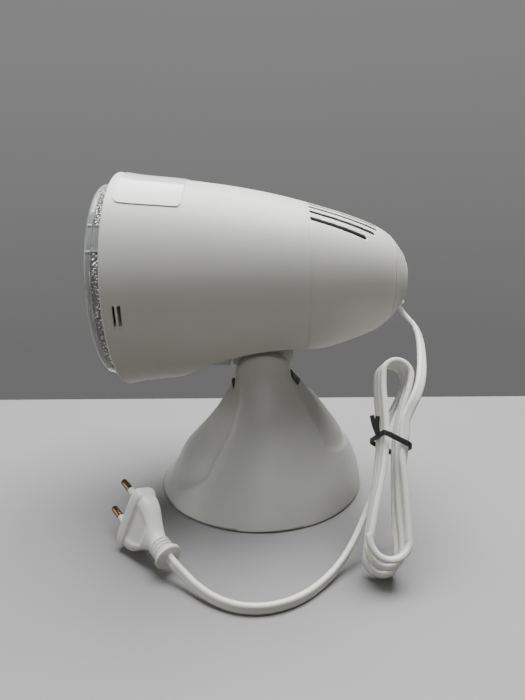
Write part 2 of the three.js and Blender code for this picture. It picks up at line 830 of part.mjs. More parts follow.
// Sheet disc across the rear cover that carries the lampholder, the terminals and the cord clamp
function holderPlate() {
  const disc = rod([plateAlong, 0, 0], [plateAlong + plateDisc, 0, 0], plateRadius(), roundSteps);
  const airHoles = Array.from({ length: airHoleCount }, (_, i) => {
    const [from, to] = [plateAlong - overrun, plateAlong + overrun];
    const hole = rod([from, 0, airHoleRing], [to, 0, airHoleRing], airHoleRadius);
    return turnedAbout(hole, alongX, midAngle(i, airHoleCount));
  });
  const wireHoles = wireHoleRods(plateAlong - overrun, plateAlong + overrun);
  const lugHoles = lugAngles().map((angle) => (
    turnedAbout(screwHole([plateAlong - seat, 0, lugCentre()], [1, 0, 0]), alongX, angle)
  ));
  const holderScrewHoles = [1, -1].map((side) => (
    screwHole([plateAlong + plateDisc + seat, side * holderScrewOut, 0], [-1, 0, 0])
  ));
  const blockHole = screwHole([plateAlong - seat, 0, -blockDrop], [1, 0, 0], blockDepth / 2);
  const vented = cut(disc, ...airHoles, ...wireHoles, ...lugHoles);
  return piece('holder_plate', cut(vented, ...holderScrewHoles, blockHole, ...clampScrewHoles()), zinc);
}

function clampScrewPlaces() {
  const along = plateAlong + plateDisc + seat + clampDepth + seat;
  const across = clampWidth / 2 - screwHeadRadius;
  return [[along, across, clampRise], [along, -across, clampRise]];
}

function clampScrewHoles() {
  const length = clampDepth + seat + plateDisc;
  return clampScrewPlaces().map((place) => screwHole(place, [-1, 0, 0], length));
}

function terminalBlock() {
  const from = plateAlong + plateDisc + seat;
  const body = block(
    [from, -blockWidth / 2, -blockDrop - blockHeight / 2],
    [from + blockDepth, blockWidth / 2, -blockDrop + blockHeight / 2],
  );
  const hole = screwHole([plateAlong - seat, 0, -blockDrop], [1, 0, 0], blockDepth / 2);
  return piece('terminal_block', cut(body, hole), ceramic);
}

function cordClamp() {
  const from = plateAlong + plateDisc + seat;
  const body = block(
    [from, -clampWidth / 2, clampRise - clampHeight / 2],
    [from + clampDepth, clampWidth / 2, clampRise + clampHeight / 2],
  );
  const channel = block(
    [from + clampDepth / 2 - cordThickness / 2 - seat, -cordWidth / 2 - seat, clampRise - clampHeight],
    [from + clampDepth / 2 + cordThickness / 2 + seat, cordWidth / 2 + seat, clampRise + clampHeight],
  );
  return piece('cord_clamp', cut(body, channel, ...clampScrewHoles()), shellShade);
}

// An oval of the cord's section, turned about its own centre
function cordSection(sides, turn = 0) {
  const shape = new THREE.Shape();
  const points = Array.from({ length: sides }, (_, i) => {
    const angle = midAngle(i, sides);
    const grow = 1 / Math.cos(Math.PI / sides);
    const out = new THREE.Vector2(
      (Math.cos(angle) * cordWidth * grow) / 2,
      (Math.sin(angle) * cordThickness * grow) / 2,
    );
    return out.rotateAround(new THREE.Vector2(), turn);
  });
  shape.setFromPoints(points);
  return shape;
}

function roundSection(radius, sides) {
  const shape = new THREE.Shape();
  shape.setFromPoints(Array.from({ length: sides }, (_, i) => (
    new THREE.Vector2(radius, 0).rotateAround(new THREE.Vector2(), (i * 4 * quarterTurn) / sides)
  )));
  return shape;
}

function tube(points, section, steps) {
  const path = new THREE.CatmullRomCurve3(points, false, 'centripetal');
  const geometry = new THREE.ExtrudeGeometry(section, { steps, bevelEnabled: false, extrudePath: path });
  return solidOf(geometry);
}

// The cord inside the head, from the sleeve through the clamp
function innerCord() {
  const channelAlong = plateAlong + plateDisc + seat + clampDepth / 2;
  const clampTop = clampRise + clampHeight / 2;
  const route = [
    alongExit(-sleeveInside - cordGap),
    alongExit(-sleeveInside - cordWidth),
    new THREE.Vector3(channelAlong + 2 * cordWidth, 0, clampTop + cordThickness / 2),
    new THREE.Vector3(channelAlong + cordWidth, 0, clampTop + cordWidth),
    new THREE.Vector3(channelAlong, 0, clampTop + seat),
    new THREE.Vector3(channelAlong, 0, clampTop - cordWidth),
    new THREE.Vector3(channelAlong, 0, clampRise - clampHeight / 2),
    new THREE.Vector3(channelAlong, 0, -blockDrop + blockHeight / 2 + cordGap),
  ];
  return piece('inner_cord', tube(route, cordSection(sectionSides), innerSteps), cordWhite);
}

function holderWire(name, side, look) {
  const across = side * wireSpread;
  const back = plateAlong + plateDisc + seat;
  const start = new THREE.Vector3(back + blockDepth / 2, across, -blockDrop + blockHeight / 2 + cordGap);
  const route = [
    start,
    start.clone().add(new THREE.Vector3(0, 0, 2 * wireRadius)),
    new THREE.Vector3(back + 2 * wireRadius, across, 0),
    new THREE.Vector3(plateAlong, across, 0),
    new THREE.Vector3(contactEnd + 3 * seat + leafThickness, across, 0),
  ];
  return piece(name, tube(route, roundSection(wireRadius, hexSteps), wireSteps), look);
}

// Sheet behind the slots that keeps fingers and light away from the lamp
function ventBaffle() {
  const from = seamPlace + ventLead;
  const to = from + baffleLength;
  const sheet = cut(
    headSlice(from, to, shellWall + baffleGap),
    headSlice(from - overrun, to + overrun, shellWall + baffleGap + baffleThickness),
  );
  const rib = cut(
    headSlice(to - baffleRibWidth, to, shellWall + seat),
    headSlice(from, to + overrun, shellWall + baffleGap + baffleThickness / 2),
  );
  const wedge = topWedge(from, baffleLength, 2 * rimRadius, baffleHalfAngle);
  return piece('vent_baffle', common(join(sheet, rib), wedge), shellShade);
}

// Neck: a hinge drum under a hollow post whose flange is screwed to the shell's bosses
function neckBracket() {
  const shape = new THREE.Shape();
  shape.moveTo(neckFront, neckFlangeUnder + neckFlangeThickness);
  shape.lineTo(neckFront, -axisRise);
  shape.absarc(pivotAlong, -axisRise, drumRadius, Math.PI, 2 * Math.PI, false);
  shape.lineTo(neckBack, neckFlangeUnder + neckFlangeThickness);
  shape.closePath();
  const post = slab(shape, 2 * neckHalf, smallSteps);
  const flange = block(
    [neckFront, -neckFlangeHalf, neckFlangeUnder],
    [neckBack + neckFlangeRear, neckFlangeHalf, neckFlangeUnder + neckFlangeThickness],
  );
  const hollow = block(
    [neckFront + neckWall, neckWall - neckHalf, boltHeadRadius + neckWall - axisRise],
    [neckBack - neckWall, neckHalf - neckWall, neckFlangeUnder + overrun],
  );
  const [holeStart, holeEnd] = [[pivotAlong, -slotHalf, -axisRise], [pivotAlong, slotHalf, -axisRise]];
  const pivotHole = rod(holeStart, holeEnd, boltRadius + seat);
  const notches = tiltSteps.map((angle) => {
    const place = new THREE.Vector2(0, -drumRadius).rotateAround(new THREE.Vector2(), angle * degree);
    const [along, up] = [pivotAlong + place.x, place.y - axisRise];
    return rod([along, -slotHalf, up], [along, slotHalf, up], notchRadius, screwSteps);
  });
  const screwHoles = neckBossPlaces().map(([along, across]) => (
    screwHole([along, across, neckFlangeUnder + neckFlangeThickness + seat], [0, 0, -1])
  ));
  const body = cut(join(post, flange), hollow, pivotHole);
  return piece('neck_bracket', cut(body, ...notches, ...screwHoles), shellShade);
}

function neckScrews() {
  return neckBossPlaces().map(([along, across], i) => (
    screw(`neck_screw_${i + 1}`, [along, across, neckFlangeUnder + neckFlangeThickness + seat], [0, 0, -1])
  ));
}

function plateScrews() {
  return lugAngles().map((angle, i) => {
    const made = screw(`plate_screw_${i + 1}`, [plateAlong - seat, 0, lugCentre()], [1, 0, 0]);
    made.geometry.rotateX(angle);
    return made;
  });
}

function holderScrews() {
  return [1, -1].map((side, i) => (
    screw(`holder_screw_${i + 1}`, [plateAlong + plateDisc + seat, side * holderScrewOut, 0], [-1, 0, 0])
  ));
}

function clampScrews() {
  return clampScrewPlaces().map((place, i) => (
    screw(`clamp_screw_${i + 1}`, place, [-1, 0, 0], clampDepth + seat)
  ));
}

// Base shell: the space that two side faces and two end faces share, each a stack of circles
function stackOfCircles(kind, sign, inset) {
  const rows = baseSectionShares.map(([up, front, rear, side, endRound, sideRound, back]) => {
    const z = up * pivotHeight;
    const centre = back * baseRadius;
    if (kind === 'end') {
      const reach = (sign < 0 ? front : rear) * baseRadius;
      return [z, sign * (reach - endRound * baseRadius), 0, endRound * baseRadius - inset];
    }
    return [z, centre, sign * (side - sideRound) * baseRadius, sideRound * baseRadius - inset];
  });
  const positions = [];
  rows.forEach(([z, x, y, radius]) => {
    for (let i = 0; i < stackSteps; i += 1) {
      const angle = (i * 4 * quarterTurn) / stackSteps;
      positions.push(x + radius * Math.cos(angle), y + radius * Math.sin(angle), z);
    }
  });
  const [first, last] = [rows[0], rows[rows.length - 1]];
  positions.push(first[1], first[2], first[0], last[1], last[2], last[0]);
  const [bottom, top] = [rows.length * stackSteps, rows.length * stackSteps + 1];
  const index = [];
  for (let i = 0; i < stackSteps; i += 1) {
    const next = (i + 1) % stackSteps;
    for (let k = 0; k + 1 < rows.length; k += 1) {
      const [a, b] = [k * stackSteps + i, k * stackSteps + next];
      const [c, d] = [a + stackSteps, b + stackSteps];
      index.push(a, b, c, b, d, c);
    }
    index.push(bottom, next, i, top, top - 1 - stackSteps + i, top - 1 - stackSteps + next);
  }
  const geometry = new THREE.BufferGeometry();
  geometry.setAttribute('position', new THREE.Float32BufferAttribute(positions, 3));
  geometry.setIndex(index);
  return solidOf(geometry);
}

function earShape(inset) {
  const shape = new THREE.Shape();
  const reach = baseRadius + overrun;
  shape.moveTo(-reach, -overrun);
  shape.lineTo(reach, -overrun);
  shape.lineTo(reach, pivotHeight);
  shape.absellipse(pivotPlace, pivotHeight, earRear - inset, earTop - inset, 0, quarterTurn, false);
  shape.absellipse(pivotPlace, pivotHeight, earFront - inset, earTop - inset, quarterTurn, Math.PI, false);
  shape.lineTo(-reach, pivotHeight);
  shape.closePath();
  return slab(shape, 2 * reach, smallSteps);
}

function baseBody(inset) {
  return common(
    stackOfCircles('end', -1, inset),
    stackOfCircles('end', 1, inset),
    stackOfCircles('side', -1, inset),
    stackOfCircles('side', 1, inset),
    earShape(inset),
  );
}

function drumSpace(growth, halfWidth) {
  const [start, end] = [[pivotPlace, -halfWidth, pivotHeight], [pivotPlace, halfWidth, pivotHeight]];
  const under = pivotHeight - slotEdgeDrop - growth;
  return join(
    rod(start, end, drumRadius + slotGap + growth, roundSteps),
    block([-baseRadius, -halfWidth, under], [baseRadius, halfWidth, 2 * pivotHeight]),
  );
}

// Pocket under the drum where the detent leaf lies
const leafTop = pivotHeight - drumRadius - seat;
const leafFloor = leafTop - leafRise - leafThickness;

function leafSpace(growth) {
  return block(
    [pivotPlace - leafLength / 2 - seat - growth, -leafWidth / 2 - seat - growth, leafFloor - seat - growth],
    [pivotPlace + leafLength / 2 + seat + growth, leafWidth / 2 + seat + growth, leafTop],
  );
}

function baseBossAngles() {
  return Array.from({ length: baseBossCount }, (_, i) => quarterTurn / 2 + i * quarterTurn);
}

function aroundBase(radius, angle) {
  return [radius * Math.cos(angle), radius * Math.sin(angle)];
}

const plateTop = plateLift + plateThickness;
const ballastScrewLength = ballastThickness + plateThickness;

function baseShell() {
  const outside = baseBody(0);
  const slotCore = join(drumSpace(baseWall, slotHalf + baseWall), leafSpace(baseWall));
  const inside = cut(baseBody(baseWall), slotCore);
  const bosses = baseBossAngles().map((angle) => {
    const [x, y] = aroundBase(baseBossPlace, angle);
    return rod([x, y, plateTop + seat], [x, y, pivotHeight], baseBossRadius, screwSteps);
  });
  const bossShare = common(join(...bosses), baseBody(baseWall / 2));
  const holes = baseBossAngles().map((angle) => {
    const [x, y] = aroundBase(baseBossPlace, angle);
    return screwHole([x, y, plateLift + screwHeadHeight / 2], [0, 0, 1], screwLength + plateThickness);
  });
  const wallFace = slotHalf + baseWall + seat;
  const [boltStart, boltEnd] = [[pivotPlace, -wallFace, pivotHeight], [pivotPlace, wallFace, pivotHeight]];
  const boltHole = rod(boltStart, boltEnd, boltRadius + seat);
  const reach = baseRadius + overrun;
  const foot = block([-reach, -reach, -overrun], [reach, reach, shellLift]);
  const whole = join(cut(outside, inside), bossShare);
  const solid = cut(whole, drumSpace(0, slotHalf), leafSpace(0), boltHole, foot, ...holes);
  return piece('base_shell', solid, baseWhite);
}

function basePlate() {
  const radius = baseRadius - baseWall - 3 * seat;
  const disc = common(
    rod([0, 0, plateLift], [0, 0, plateTop], radius, roundSteps),
    baseBody(baseWall + seat),
  );
  const counterbores = baseBossAngles().map((angle) => {
    const [x, y] = aroundBase(baseBossPlace, angle);
    const headFace = plateLift + screwHeadHeight / 2;
    const sunk = rod([x, y, plateLift - overrun], [x, y, headFace], screwHeadRadius + seat, screwSteps);
    return join(sunk, screwHole([x, y, headFace], [0, 0, 1], screwLength + plateThickness));
  });
  const ballastHoles = ballastScrewPlaces().map((place) => screwHole(place, [0, 0, -1], ballastScrewLength));
  return piece('base_plate', cut(disc, ...counterbores, ...ballastHoles), baseWhite);
}

// Soft round pad under the plate, open only below the four outer screws
function basePad() {
  const disc = rod([0, 0, 0], [0, 0, padThickness], padRadius, roundSteps);
  const holes = baseBossAngles().map((angle) => {
    const [x, y] = aroundBase(baseBossPlace, angle);
    return rod([x, y, -overrun], [x, y, overrun], screwHeadRadius + 2 * seat, screwSteps);
  });
  return piece('base_pad', cut(disc, ...holes), rubber);
}

function ballast() {
  const from = plateTop + seat;
  const disc = rod([0, 0, from], [0, 0, from + ballastThickness], ballastRadius, roundSteps);
  const holes = ballastScrewPlaces().map((place) => screwHole(place, [0, 0, -1], ballastScrewLength));
  return piece('ballast_plate', cut(disc, ...holes), steel);
}

function ballastScrewPlaces() {
  const up = plateTop + ballastThickness + 2 * seat;
  return [[ballastRadius / 2, 0, up], [-ballastRadius / 2, 0, up]];
}

function baseScrews() {
  const made = baseBossAngles().map((angle, i) => {
    const [x, y] = aroundBase(baseBossPlace, angle);
    const place = [x, y, plateLift + screwHeadHeight / 2 - seat];
    return screw(`base_screw_${i + 1}`, place, [0, 0, 1], screwLength + plateThickness);
  });
  const inner = ballastScrewPlaces().map((place, i) => (
    screw(`ballast_screw_${i + 1}`, place, [0, 0, -1], ballastScrewLength)
  ));
  return [...made, ...inner];
}

// Hinge pieces that stay with the base
function pivotBolt() {
  const wallFace = slotHalf + baseWall + seat;
  const shankEnd = wallFace + nutThickness + boltTail;
  const head = rod([0, -wallFace - boltHeadThickness, 0], [0, -wallFace, 0], boltHeadRadius, hexSteps);
  const shank = rod([0, -wallFace - seat, 0], [0, shankEnd, 0], boltRadius, smallSteps);
  const made = piece('pivot_bolt', join(head, shank), steel);
  made.position.set(pivotPlace, 0, pivotHeight);
  return made;
}

function pivotNut() {
  const wallFace = slotHalf + baseWall + seat;
  const body = rod([0, wallFace, 0], [0, wallFace + nutThickness, 0], nutRadius, hexSteps);
  const hole = rod([0, wallFace - overrun, 0], [0, wallFace + 2 * overrun, 0], boltRadius + seat);
  const made = piece('pivot_nut', cut(body, hole), steel);
  made.position.set(pivotPlace, 0, pivotHeight);
  return made;
}

function frictionWasher(name, side) {
  const inner = neckHalf + seat;
  const body = rod([0, side * inner, 0], [0, side * (inner + washerThickness), 0], washerRadius, smallSteps);
  const hole = rod([0, -slotHalf, 0], [0, slotHalf, 0], boltRadius + seat);
  const made = piece(name, cut(body, hole), fibre);
  made.position.set(pivotPlace, 0, pivotHeight);
  return made;
}

// Bowed leaf spring whose crest runs under the drum's notches
function detentLeaf() {
  const half = leafLength / 2;
  const upper = [];
  const lower = [];
  for (let i = 0; i <= sectorSteps; i += 1) {
    const share = (2 * i) / sectorSteps - 1;
    const rise = leafRise * Math.cos(share * quarterTurn) ** 2;
    upper.push(new THREE.Vector2(share * half, rise + leafThickness));
    lower.push(new THREE.Vector2(share * half, rise));
  }
  const shape = new THREE.Shape();
  shape.setFromPoints([...lower, ...upper.reverse()]);
  const made = piece('detent_leaf', slab(shape, leafWidth), steel);
  made.position.set(pivotPlace, 0, leafFloor);
  return made;
}

// Hank frame: up along the loops, front towards the viewer, side across a loop
const hankUp = hankTop.clone().sub(hankFoot).normalize();
const hankFacing = new THREE.Vector3(0, -1, 0).addScaledVector(hankUp, hankUp.y).normalize();
const hankFront = hankFacing.clone().applyAxisAngle(hankUp, hankTurn);
const hankSide = hankUp.clone().cross(hankFront);
const hankWaist = hankFoot.clone().addScaledVector(hankUp, hankWaistHeight);

function hankPoint(across, up, layer) {
  return hankWaist.clone()
    .addScaledVector(hankSide, across)
    .addScaledVector(hankUp, up)
    .addScaledVector(hankFront, (hankLoops / 2 - layer) * hankStep);
}

function eased(share) {
  const held = Math.min(Math.max(share, 0), 1);
  return held * held * (3 - 2 * held);
}

function footHalf(loop) {
  return hankFootHalf - (hankFootNarrower * Math.min(loop, hankLoops - 1)) / (hankLoops - 1);
}

function footUp(loop) {
  return hankFootHalf - hankBelow + hankShorter * (1 - loop / (hankLoops - 1));
}

const headUp = hankAbove - hankHeadHalf;

// Half the loop's width at a height above or below the waist
function hankHalf(up, loop = 0) {
  const end = up < 0 ? footHalf(loop) : hankHeadHalf;
  const run = up < 0 ? hankBelow - hankFootHalf : headUp;
  return hankWaistHalf + (end - hankWaistHalf) * eased(Math.abs(up) / run);
}

// A run down the right side turns the cord's flat face to the front between two heights
function runTwist(up, low, high) {
  return quarterTurn * eased(Math.min(high - up, up - low) / twistRun);
}

function arcPoints(half, centreUp, from, layer, steps) {
  return Array.from({ length: steps }, (_, i) => {
    const angle = from - (Math.PI * (2 * i + 1)) / (2 * steps);
    return { point: hankPoint(half * Math.cos(angle), centreUp + half * Math.sin(angle), layer), twist: 0 };
  });
}

// Down the right, from the first loop's start or the head to the foot
function downRun(loop, steps) {
  const first = loop === 0;
  const from = first ? hankStart - 2 * cordWidth : headUp;
  const [low, high] = first ? [-twistUnder, hankStart + twistRun] : [footUp(loop), headUp];
  return Array.from({ length: steps }, (_, i) => {
    const share = first ? i / steps : (2 * i + 1) / (2 * steps);
    const up = from + (footUp(loop) - from) * share;
    return { point: hankPoint(hankHalf(up, loop), up, loop), twist: runTwist(up, low, high) };
  });
}

// Up the left, climbing a layer
function upRun(loop, steps) {
  return Array.from({ length: steps }, (_, i) => {
    const share = (2 * i + 1) / (2 * steps);
    const up = footUp(loop) + (headUp - footUp(loop)) * share;
    return { point: hankPoint(-hankHalf(up, loop), up, loop + eased(share)), twist: 0 };
  });
}

// From the last head arc down behind the other runs to the left, ending straight
function lastRun(steps) {
  const bottom = cordWidth - hankEnd;
  const layer = (share) => hankLoops + (hankEndBehind / hankStep) * eased(2 * share);
  const across = (share, up) => hankHalf(Math.max(up, 0)) - hankEndAside * eased(share);
  const run = Array.from({ length: steps }, (_, i) => {
    const share = (2 * i + 1) / (2 * steps);
    const up = headUp + (bottom - headUp) * share;
    return { point: hankPoint(across(share, up), up, layer(share)), twist: 0 };
  });
  const ends = [bottom, -hankEnd].map((up) => ({ point: hankPoint(across(1, 0), up, layer(1)), twist: 0 }));
  return [...run, ...ends];
}

// Points down the right, round the foot, up the left and over the top, with the twist at each
function hankRoute(perLoop) {
  const perPart = perLoop / 4;
  const startTwist = runTwist(hankStart, -twistUnder, hankStart + twistRun);
  const starts = [hankStart, hankStart - cordWidth].map((up) => (
    { point: hankPoint(hankHalf(hankStart), up, 0), twist: startTwist }
  ));
  const loops = Array.from({ length: hankLoops }, (_, loop) => [
    ...downRun(loop, perPart),
    ...arcPoints(footHalf(loop), footUp(loop), 0, loop, perPart),
    ...upRun(loop, perPart),
    ...arcPoints(hankHeadHalf, headUp, Math.PI, loop + 1, perPart),
  ]);
  return [...starts, ...loops.flat(), ...lastRun(perPart)];
}

// Corners of the flat section at each point of a route, its width along the hank's front before the twist
function sectionRings(route) {
  const upper = [[1, 0], [cornerShare, 1], [-cornerShare, 1]];
  const corners = [...upper, ...upper.map(([a, b]) => [-a, -b])];
  return route.map(({ point, twist }, i) => {
    const before = route[Math.max(i - 1, 0)].point;
    const after = route[Math.min(i + 1, route.length - 1)].point;
    const along = after.clone().sub(before).normalize();
    const wide = hankFront.clone().addScaledVector(along, -along.dot(hankFront)).normalize();
    wide.applyAxisAngle(along, twist);
    const thick = along.clone().cross(wide);
    return corners.map(([a, b]) => point.clone()
      .addScaledVector(wide, (a * cordWidth) / 2)
      .addScaledVector(thick, (b * cordThickness) / 2));
  });
}

function ringsToSolid(rings) {
  const sides = rings[0].length;
  const positions = rings.flat().flatMap((corner) => corner.toArray());
  const index = [];
  for (let k = 0; k + 1 < rings.length; k += 1) {
    for (let i = 0; i < sides; i += 1) {
      const next = (i + 1) % sides;
      const [a, b] = [k * sides + i, k * sides + next];
      index.push(a, b, a + sides, b, b + sides, a + sides);
    }
  }
  const end = (rings.length - 1) * sides;
  for (let i = 1; i + 1 < sides; i += 1) {
    index.push(0, i + 1, i, end, end + i, end + i + 1);
  }
  const geometry = new THREE.BufferGeometry();
  geometry.setAttribute('position', new THREE.Float32BufferAttribute(positions, 3));
  geometry.setIndex(index);
  return solidOf(geometry);
}

// Least distance between parts of the wound tube that aren't neighbours along it
function leastGapOf(rings, perLoop) {
  const apart = Math.round(perLoop / 6);
  let least = Infinity;
  for (let i = 0; i < rings.length; i += 1) {
    for (let k = i + apart; k < rings.length; k += 1) {
      for (const one of rings[i]) {
        for (const other of rings[k]) least = Math.min(least, one.distanceTo(other));
      }
    }
  }
  return least;
}

function cordHank() {
  const measured = leastGapOf(sectionRings(hankRoute(4 * loopSteps)), 4 * loopSteps);
  console.log(`cord_hank: least gap between turns ${measured.toFixed(2)} mm, wanted over ${leastGap} mm`);
  return piece('cord_hank', ringsToSolid(sectionRings(hankRoute(loopSteps))), cordWhite);
}

// Inside of the tie's band round the bundle of runs, wider on the side of the twisted runs
function tieOutline(growth) {
  const room = 2 * seat + growth;
  const round = cordThickness / 2 + room;
  const right = hankWaistHalf + cordWidth / 2 + room - round;
  const left = -(hankWaistHalf + cordThickness / 2 + room) + round;
  const front = (hankLoops * hankStep + cordThickness) / 2 + room - round;
  const back = -((hankLoops * hankStep + cordWidth) / 2 + hankEndBehind + room) + round;
  const shape = new THREE.Shape();
  shape.absarc(right, -back, round, 0, quarterTurn, false);
  shape.absarc(left, -back, round, quarterTurn, Math.PI, false);
  shape.absarc(left, -front, round, Math.PI, 3 * quarterTurn, false);
  shape.absarc(right, -front, round, 3 * quarterTurn, 4 * quarterTurn, false);
  shape.closePath();
  return shape;
}

function tieRing(growth, depth, lift) {
  const settings = { depth, bevelEnabled: false, curveSegments: curveSteps / 2 };
  const geometry = new THREE.ExtrudeGeometry(tieOutline(growth), settings);
  geometry.translate(0, 0, lift);
  return solidOf(geometry);
}

// Band round the hank's waist, sloping down to the right, with its two ends twisted off to the left
function twistTie() {
  const tall = 2 * (tieEndLength + overrun);
  const band = cut(tieRing(tieThickness, tieWidth, 0), tieRing(0, tall, -tall / 2));
  const left = -(hankWaistHalf + cordThickness / 2 + 2 * seat + tieThickness);
  const ends = tieSpreadShares.map((spread) => rod(
    [left, 0, tieWidth / 2],
    [left - tieEndLength * spread, 0, tieEndLength * tieEndRise],
    tieThickness, sectionSides,
  ));
  const clear = tieRing(tieThickness / 2, tall, -tall / 2);
  const made = piece('twist_tie', join(band, ...ends.map((end) => cut(end, clear))), tieBlack);
  const lean = new THREE.Matrix4().makeShear(0, -tieSlope, 0, -tieLean, 0, 0);
  const frame = new THREE.Matrix4().makeBasis(hankSide, hankFront.clone().negate(), hankUp);
  const place = hankWaist.clone().addScaledVector(hankUp, -tieWidth / 2);
  made.geometry.applyMatrix4(new THREE.Matrix4().makeTranslation(place).multiply(frame).multiply(lean));
  return made;
}

// Places of the free cord in the room, chosen along the photographed cord
function headPoint(place) {
  return new THREE.Vector3(place.x - rimPlace, place.y, place.z + axisHeight);
}

const leadRoute = [
  [98.6, -4, 116.7], [100.5, -12, 114], [100.3, -21.5, 111.3], [99, -31.5, 108.3], [97, -41.5, 105],
  [94.8, -51, 101.2], [92.4, -59.6, 96.7], [89.5, -66.6, 91.6], [85.9, -71.8, 86.3], [82.4, -75, 81.1],
];

const tailRoute = [
  [64.9, -78, 35.6], [60.2, -84, 26], [55, -91, 18.3], [49.6, -98, 12], [43.9, -104.5, 7.4],
  [37.6, -111.4, 4.6], [30.6, -118.6, 3.4], [23, -125.4, 3.1], [13.8, -131, 3.1], [2.4, -134.4, 3.1],
  [-10.4, -134, 3.2], [-22.8, -129, 3.8], [-33.4, -121.3, 5.4], [-40.6, -115, 8],
];

function routePoints(route) {
  return route.map((place) => new THREE.Vector3(...place));
}

function cordLead() {
  const start = headPoint(alongExit(sleeveOutside + cordGap));
  const straight = headPoint(alongExit(sleeveOutside + cordGap + cordWidth));
  const end = hankPoint(hankHalf(hankStart), hankStart + cordGap, 0);
  const before = hankPoint(hankHalf(hankStart), hankStart + cordGap + cordWidth, 0);
  const route = [start, straight, ...routePoints(leadRoute), before, end];
  return piece('cord_lead', tube(route, cordSection(sectionSides), leadSteps), cordWhite);
}

function cordTail() {
  const hankTip = hankRoute(loopSteps).pop().point;
  const start = hankTip.clone().addScaledVector(hankUp, -cordGap);
  const straight = start.clone().addScaledVector(hankUp, -cordWidth);
  const aim = plugAim.clone().sub(plugEntry).normalize();
  const end = plugEntry.clone().addScaledVector(aim, -cordGap);
  const before = end.clone().addScaledVector(aim, -cordWidth);
  const route = [start, straight, ...routePoints(tailRoute), before, end];
  return piece('cord_tail', tube(route, cordSection(sectionSides, quarterTurn), tailSteps), cordWhite);
}

// Plug: local Z runs from the cord to the pins, local X across the two pins
function plugBody() {
  const shape = new THREE.Shape();
  const half = plugWidth / 2 - plugBevel;
  const neckEnd = collarLength + ribCount * ribStep;
  const length = plugLength - 2 * plugBevel;
  const right = plugOutlineShares.map(([along, out]) => (
    new THREE.Vector2(out * half, neckEnd + plugBevel + along * length)
  ));
  const left = right.map((point) => new THREE.Vector2(-point.x, point.y)).reverse();
  shape.setFromPoints([...right, ...left]);
  const depth = plugThickness - 2 * plugBevel;
  const body = new THREE.ExtrudeGeometry(shape, {
    depth, bevelEnabled: true, bevelThickness: plugBevel, bevelSize: plugBevel, bevelSegments: bevelSteps,
  });
  body.translate(0, 0, -depth / 2);
  body.rotateX(quarterTurn);
  const profile = [[0, 0], [0, collarRadius], [collarLength, collarRadius]];
  for (let i = 0; i < ribCount; i += 1) {
    const from = collarLength + i * ribStep;
    const groove = from + ribStep / 3;
    profile.push([from, ribGroove], [groove, ribGroove], [groove, ribRadius], [from + ribStep, ribRadius]);
  }
  profile.push([neckEnd + plugBevel * 2, ribGroove], [neckEnd + plugBevel * 2, 0]);
  const neck = revolveUp(profile, smallSteps);
  const entry = rod([0, 0, -overrun], [0, 0, seat], cordThickness / 4, screwSteps);
  const [sunk, out] = [plugFace() - pinSunk - seat, plugFace() + overrun];
  const pinHoles = [pinSpacing / 2, -pinSpacing / 2].map((x) => (
    rod([x, 0, sunk], [x, 0, out], pinRadius + seat, smallSteps)
  ));
  return piece('plug_body', cut(join(solidOf(body), neck), entry, ...pinHoles), cordWhite);
}

function plugFace() {
  return collarLength + ribCount * ribStep + plugLength;
}

function plugPin(name, side) {
  const x = (side * pinSpacing) / 2;
  const face = plugFace();
  const end = face + pinLength;
  const coreRadius = pinRadius - pinSleeveWall - seat / 2;
  const core = rod([x, 0, face - pinSunk], [x, 0, end - pinRadius], coreRadius, screwSteps);
  const bare = rod([x, 0, end - pinBareLength], [x, 0, end - pinRadius / 2], pinRadius, screwSteps);
  const tip = rod([x, 0, end - pinRadius / 2], [x, 0, end], pinRadius, screwSteps, pinRadius / 2);
  return piece(name, join(core, bare, tip), brass);
}

function plugSleeve(name, side) {
  const x = (side * pinSpacing) / 2;
  const face = plugFace();
  const end = face + pinLength - pinBareLength - seat;
  const outer = rod([x, 0, face - pinSunk], [x, 0, end], pinRadius, screwSteps);
  const boreRadius = pinRadius - pinSleeveWall + seat / 2;
  const bore = rod([x, 0, face - pinSunk - overrun], [x, 0, end + overrun], boreRadius, screwSteps);
  return piece(name, cut(outer, bore), cordWhite);
}

function plug() {
  const group = new THREE.Group();
  group.add(plugBody());
  ['lower', 'upper'].forEach((word, i) => {
    const side = i === 0 ? -1 : 1;
    group.add(plugPin(`plug_pin_${word}`, side));
    group.add(plugSleeve(`plug_sleeve_${word}`, side));
  });
  const aim = plugAim.clone().sub(plugEntry).normalize();
  const upright = alongZ.clone().addScaledVector(aim, -aim.z).normalize();
  const across = upright.applyAxisAngle(aim, plugLean);
  const through = aim.clone().cross(across);
  group.matrixAutoUpdate = false;
  group.matrix = new THREE.Matrix4().makeBasis(across, through, aim).setPosition(plugEntry);
  return group;
}

function head() {
  const group = new THREE.Group();
  group.position.set(-rimPlace, 0, axisHeight);
  group.add(frontShell(), rearCover(), rearCap(), blankLabel(), lampRing(), ventBaffle());
  group.add(lampLens(), lampReflector(), lampScrewCap(), lampInsulator(), lampContact());
  group.add(lampFilament(), lampMount());
  group.add(holderBody(), holderShell(), holderSpring(), holderPlate(), terminalBlock(), cordClamp());
  group.add(innerCord(), holderWire('wire_live', 1, wireBrown), holderWire('wire_neutral', -1, wireBlue));
  group.add(cordSleeve(), neckBracket());
  group.add(...neckScrews(), ...plateScrews(), ...holderScrews(), ...clampScrews());
  return group;
}

function base() {
  const group = new THREE.Group();
  group.add(baseShell(), basePlate(), ballast(), basePad(), ...baseScrews());
  group.add(pivotBolt(), pivotNut(), detentLeaf());
  group.add(frictionWasher('washer_near', -1), frictionWasher('washer_far', 1));
  return group;
}

function cord() {
  const group = new THREE.Group();
  group.add(cordLead(), cordHank(), cordTail(), twistTie(), plug());
  return group;
}

const lamp = new THREE.Group();
lamp.add(base(), head(), cord());

export default lamp;
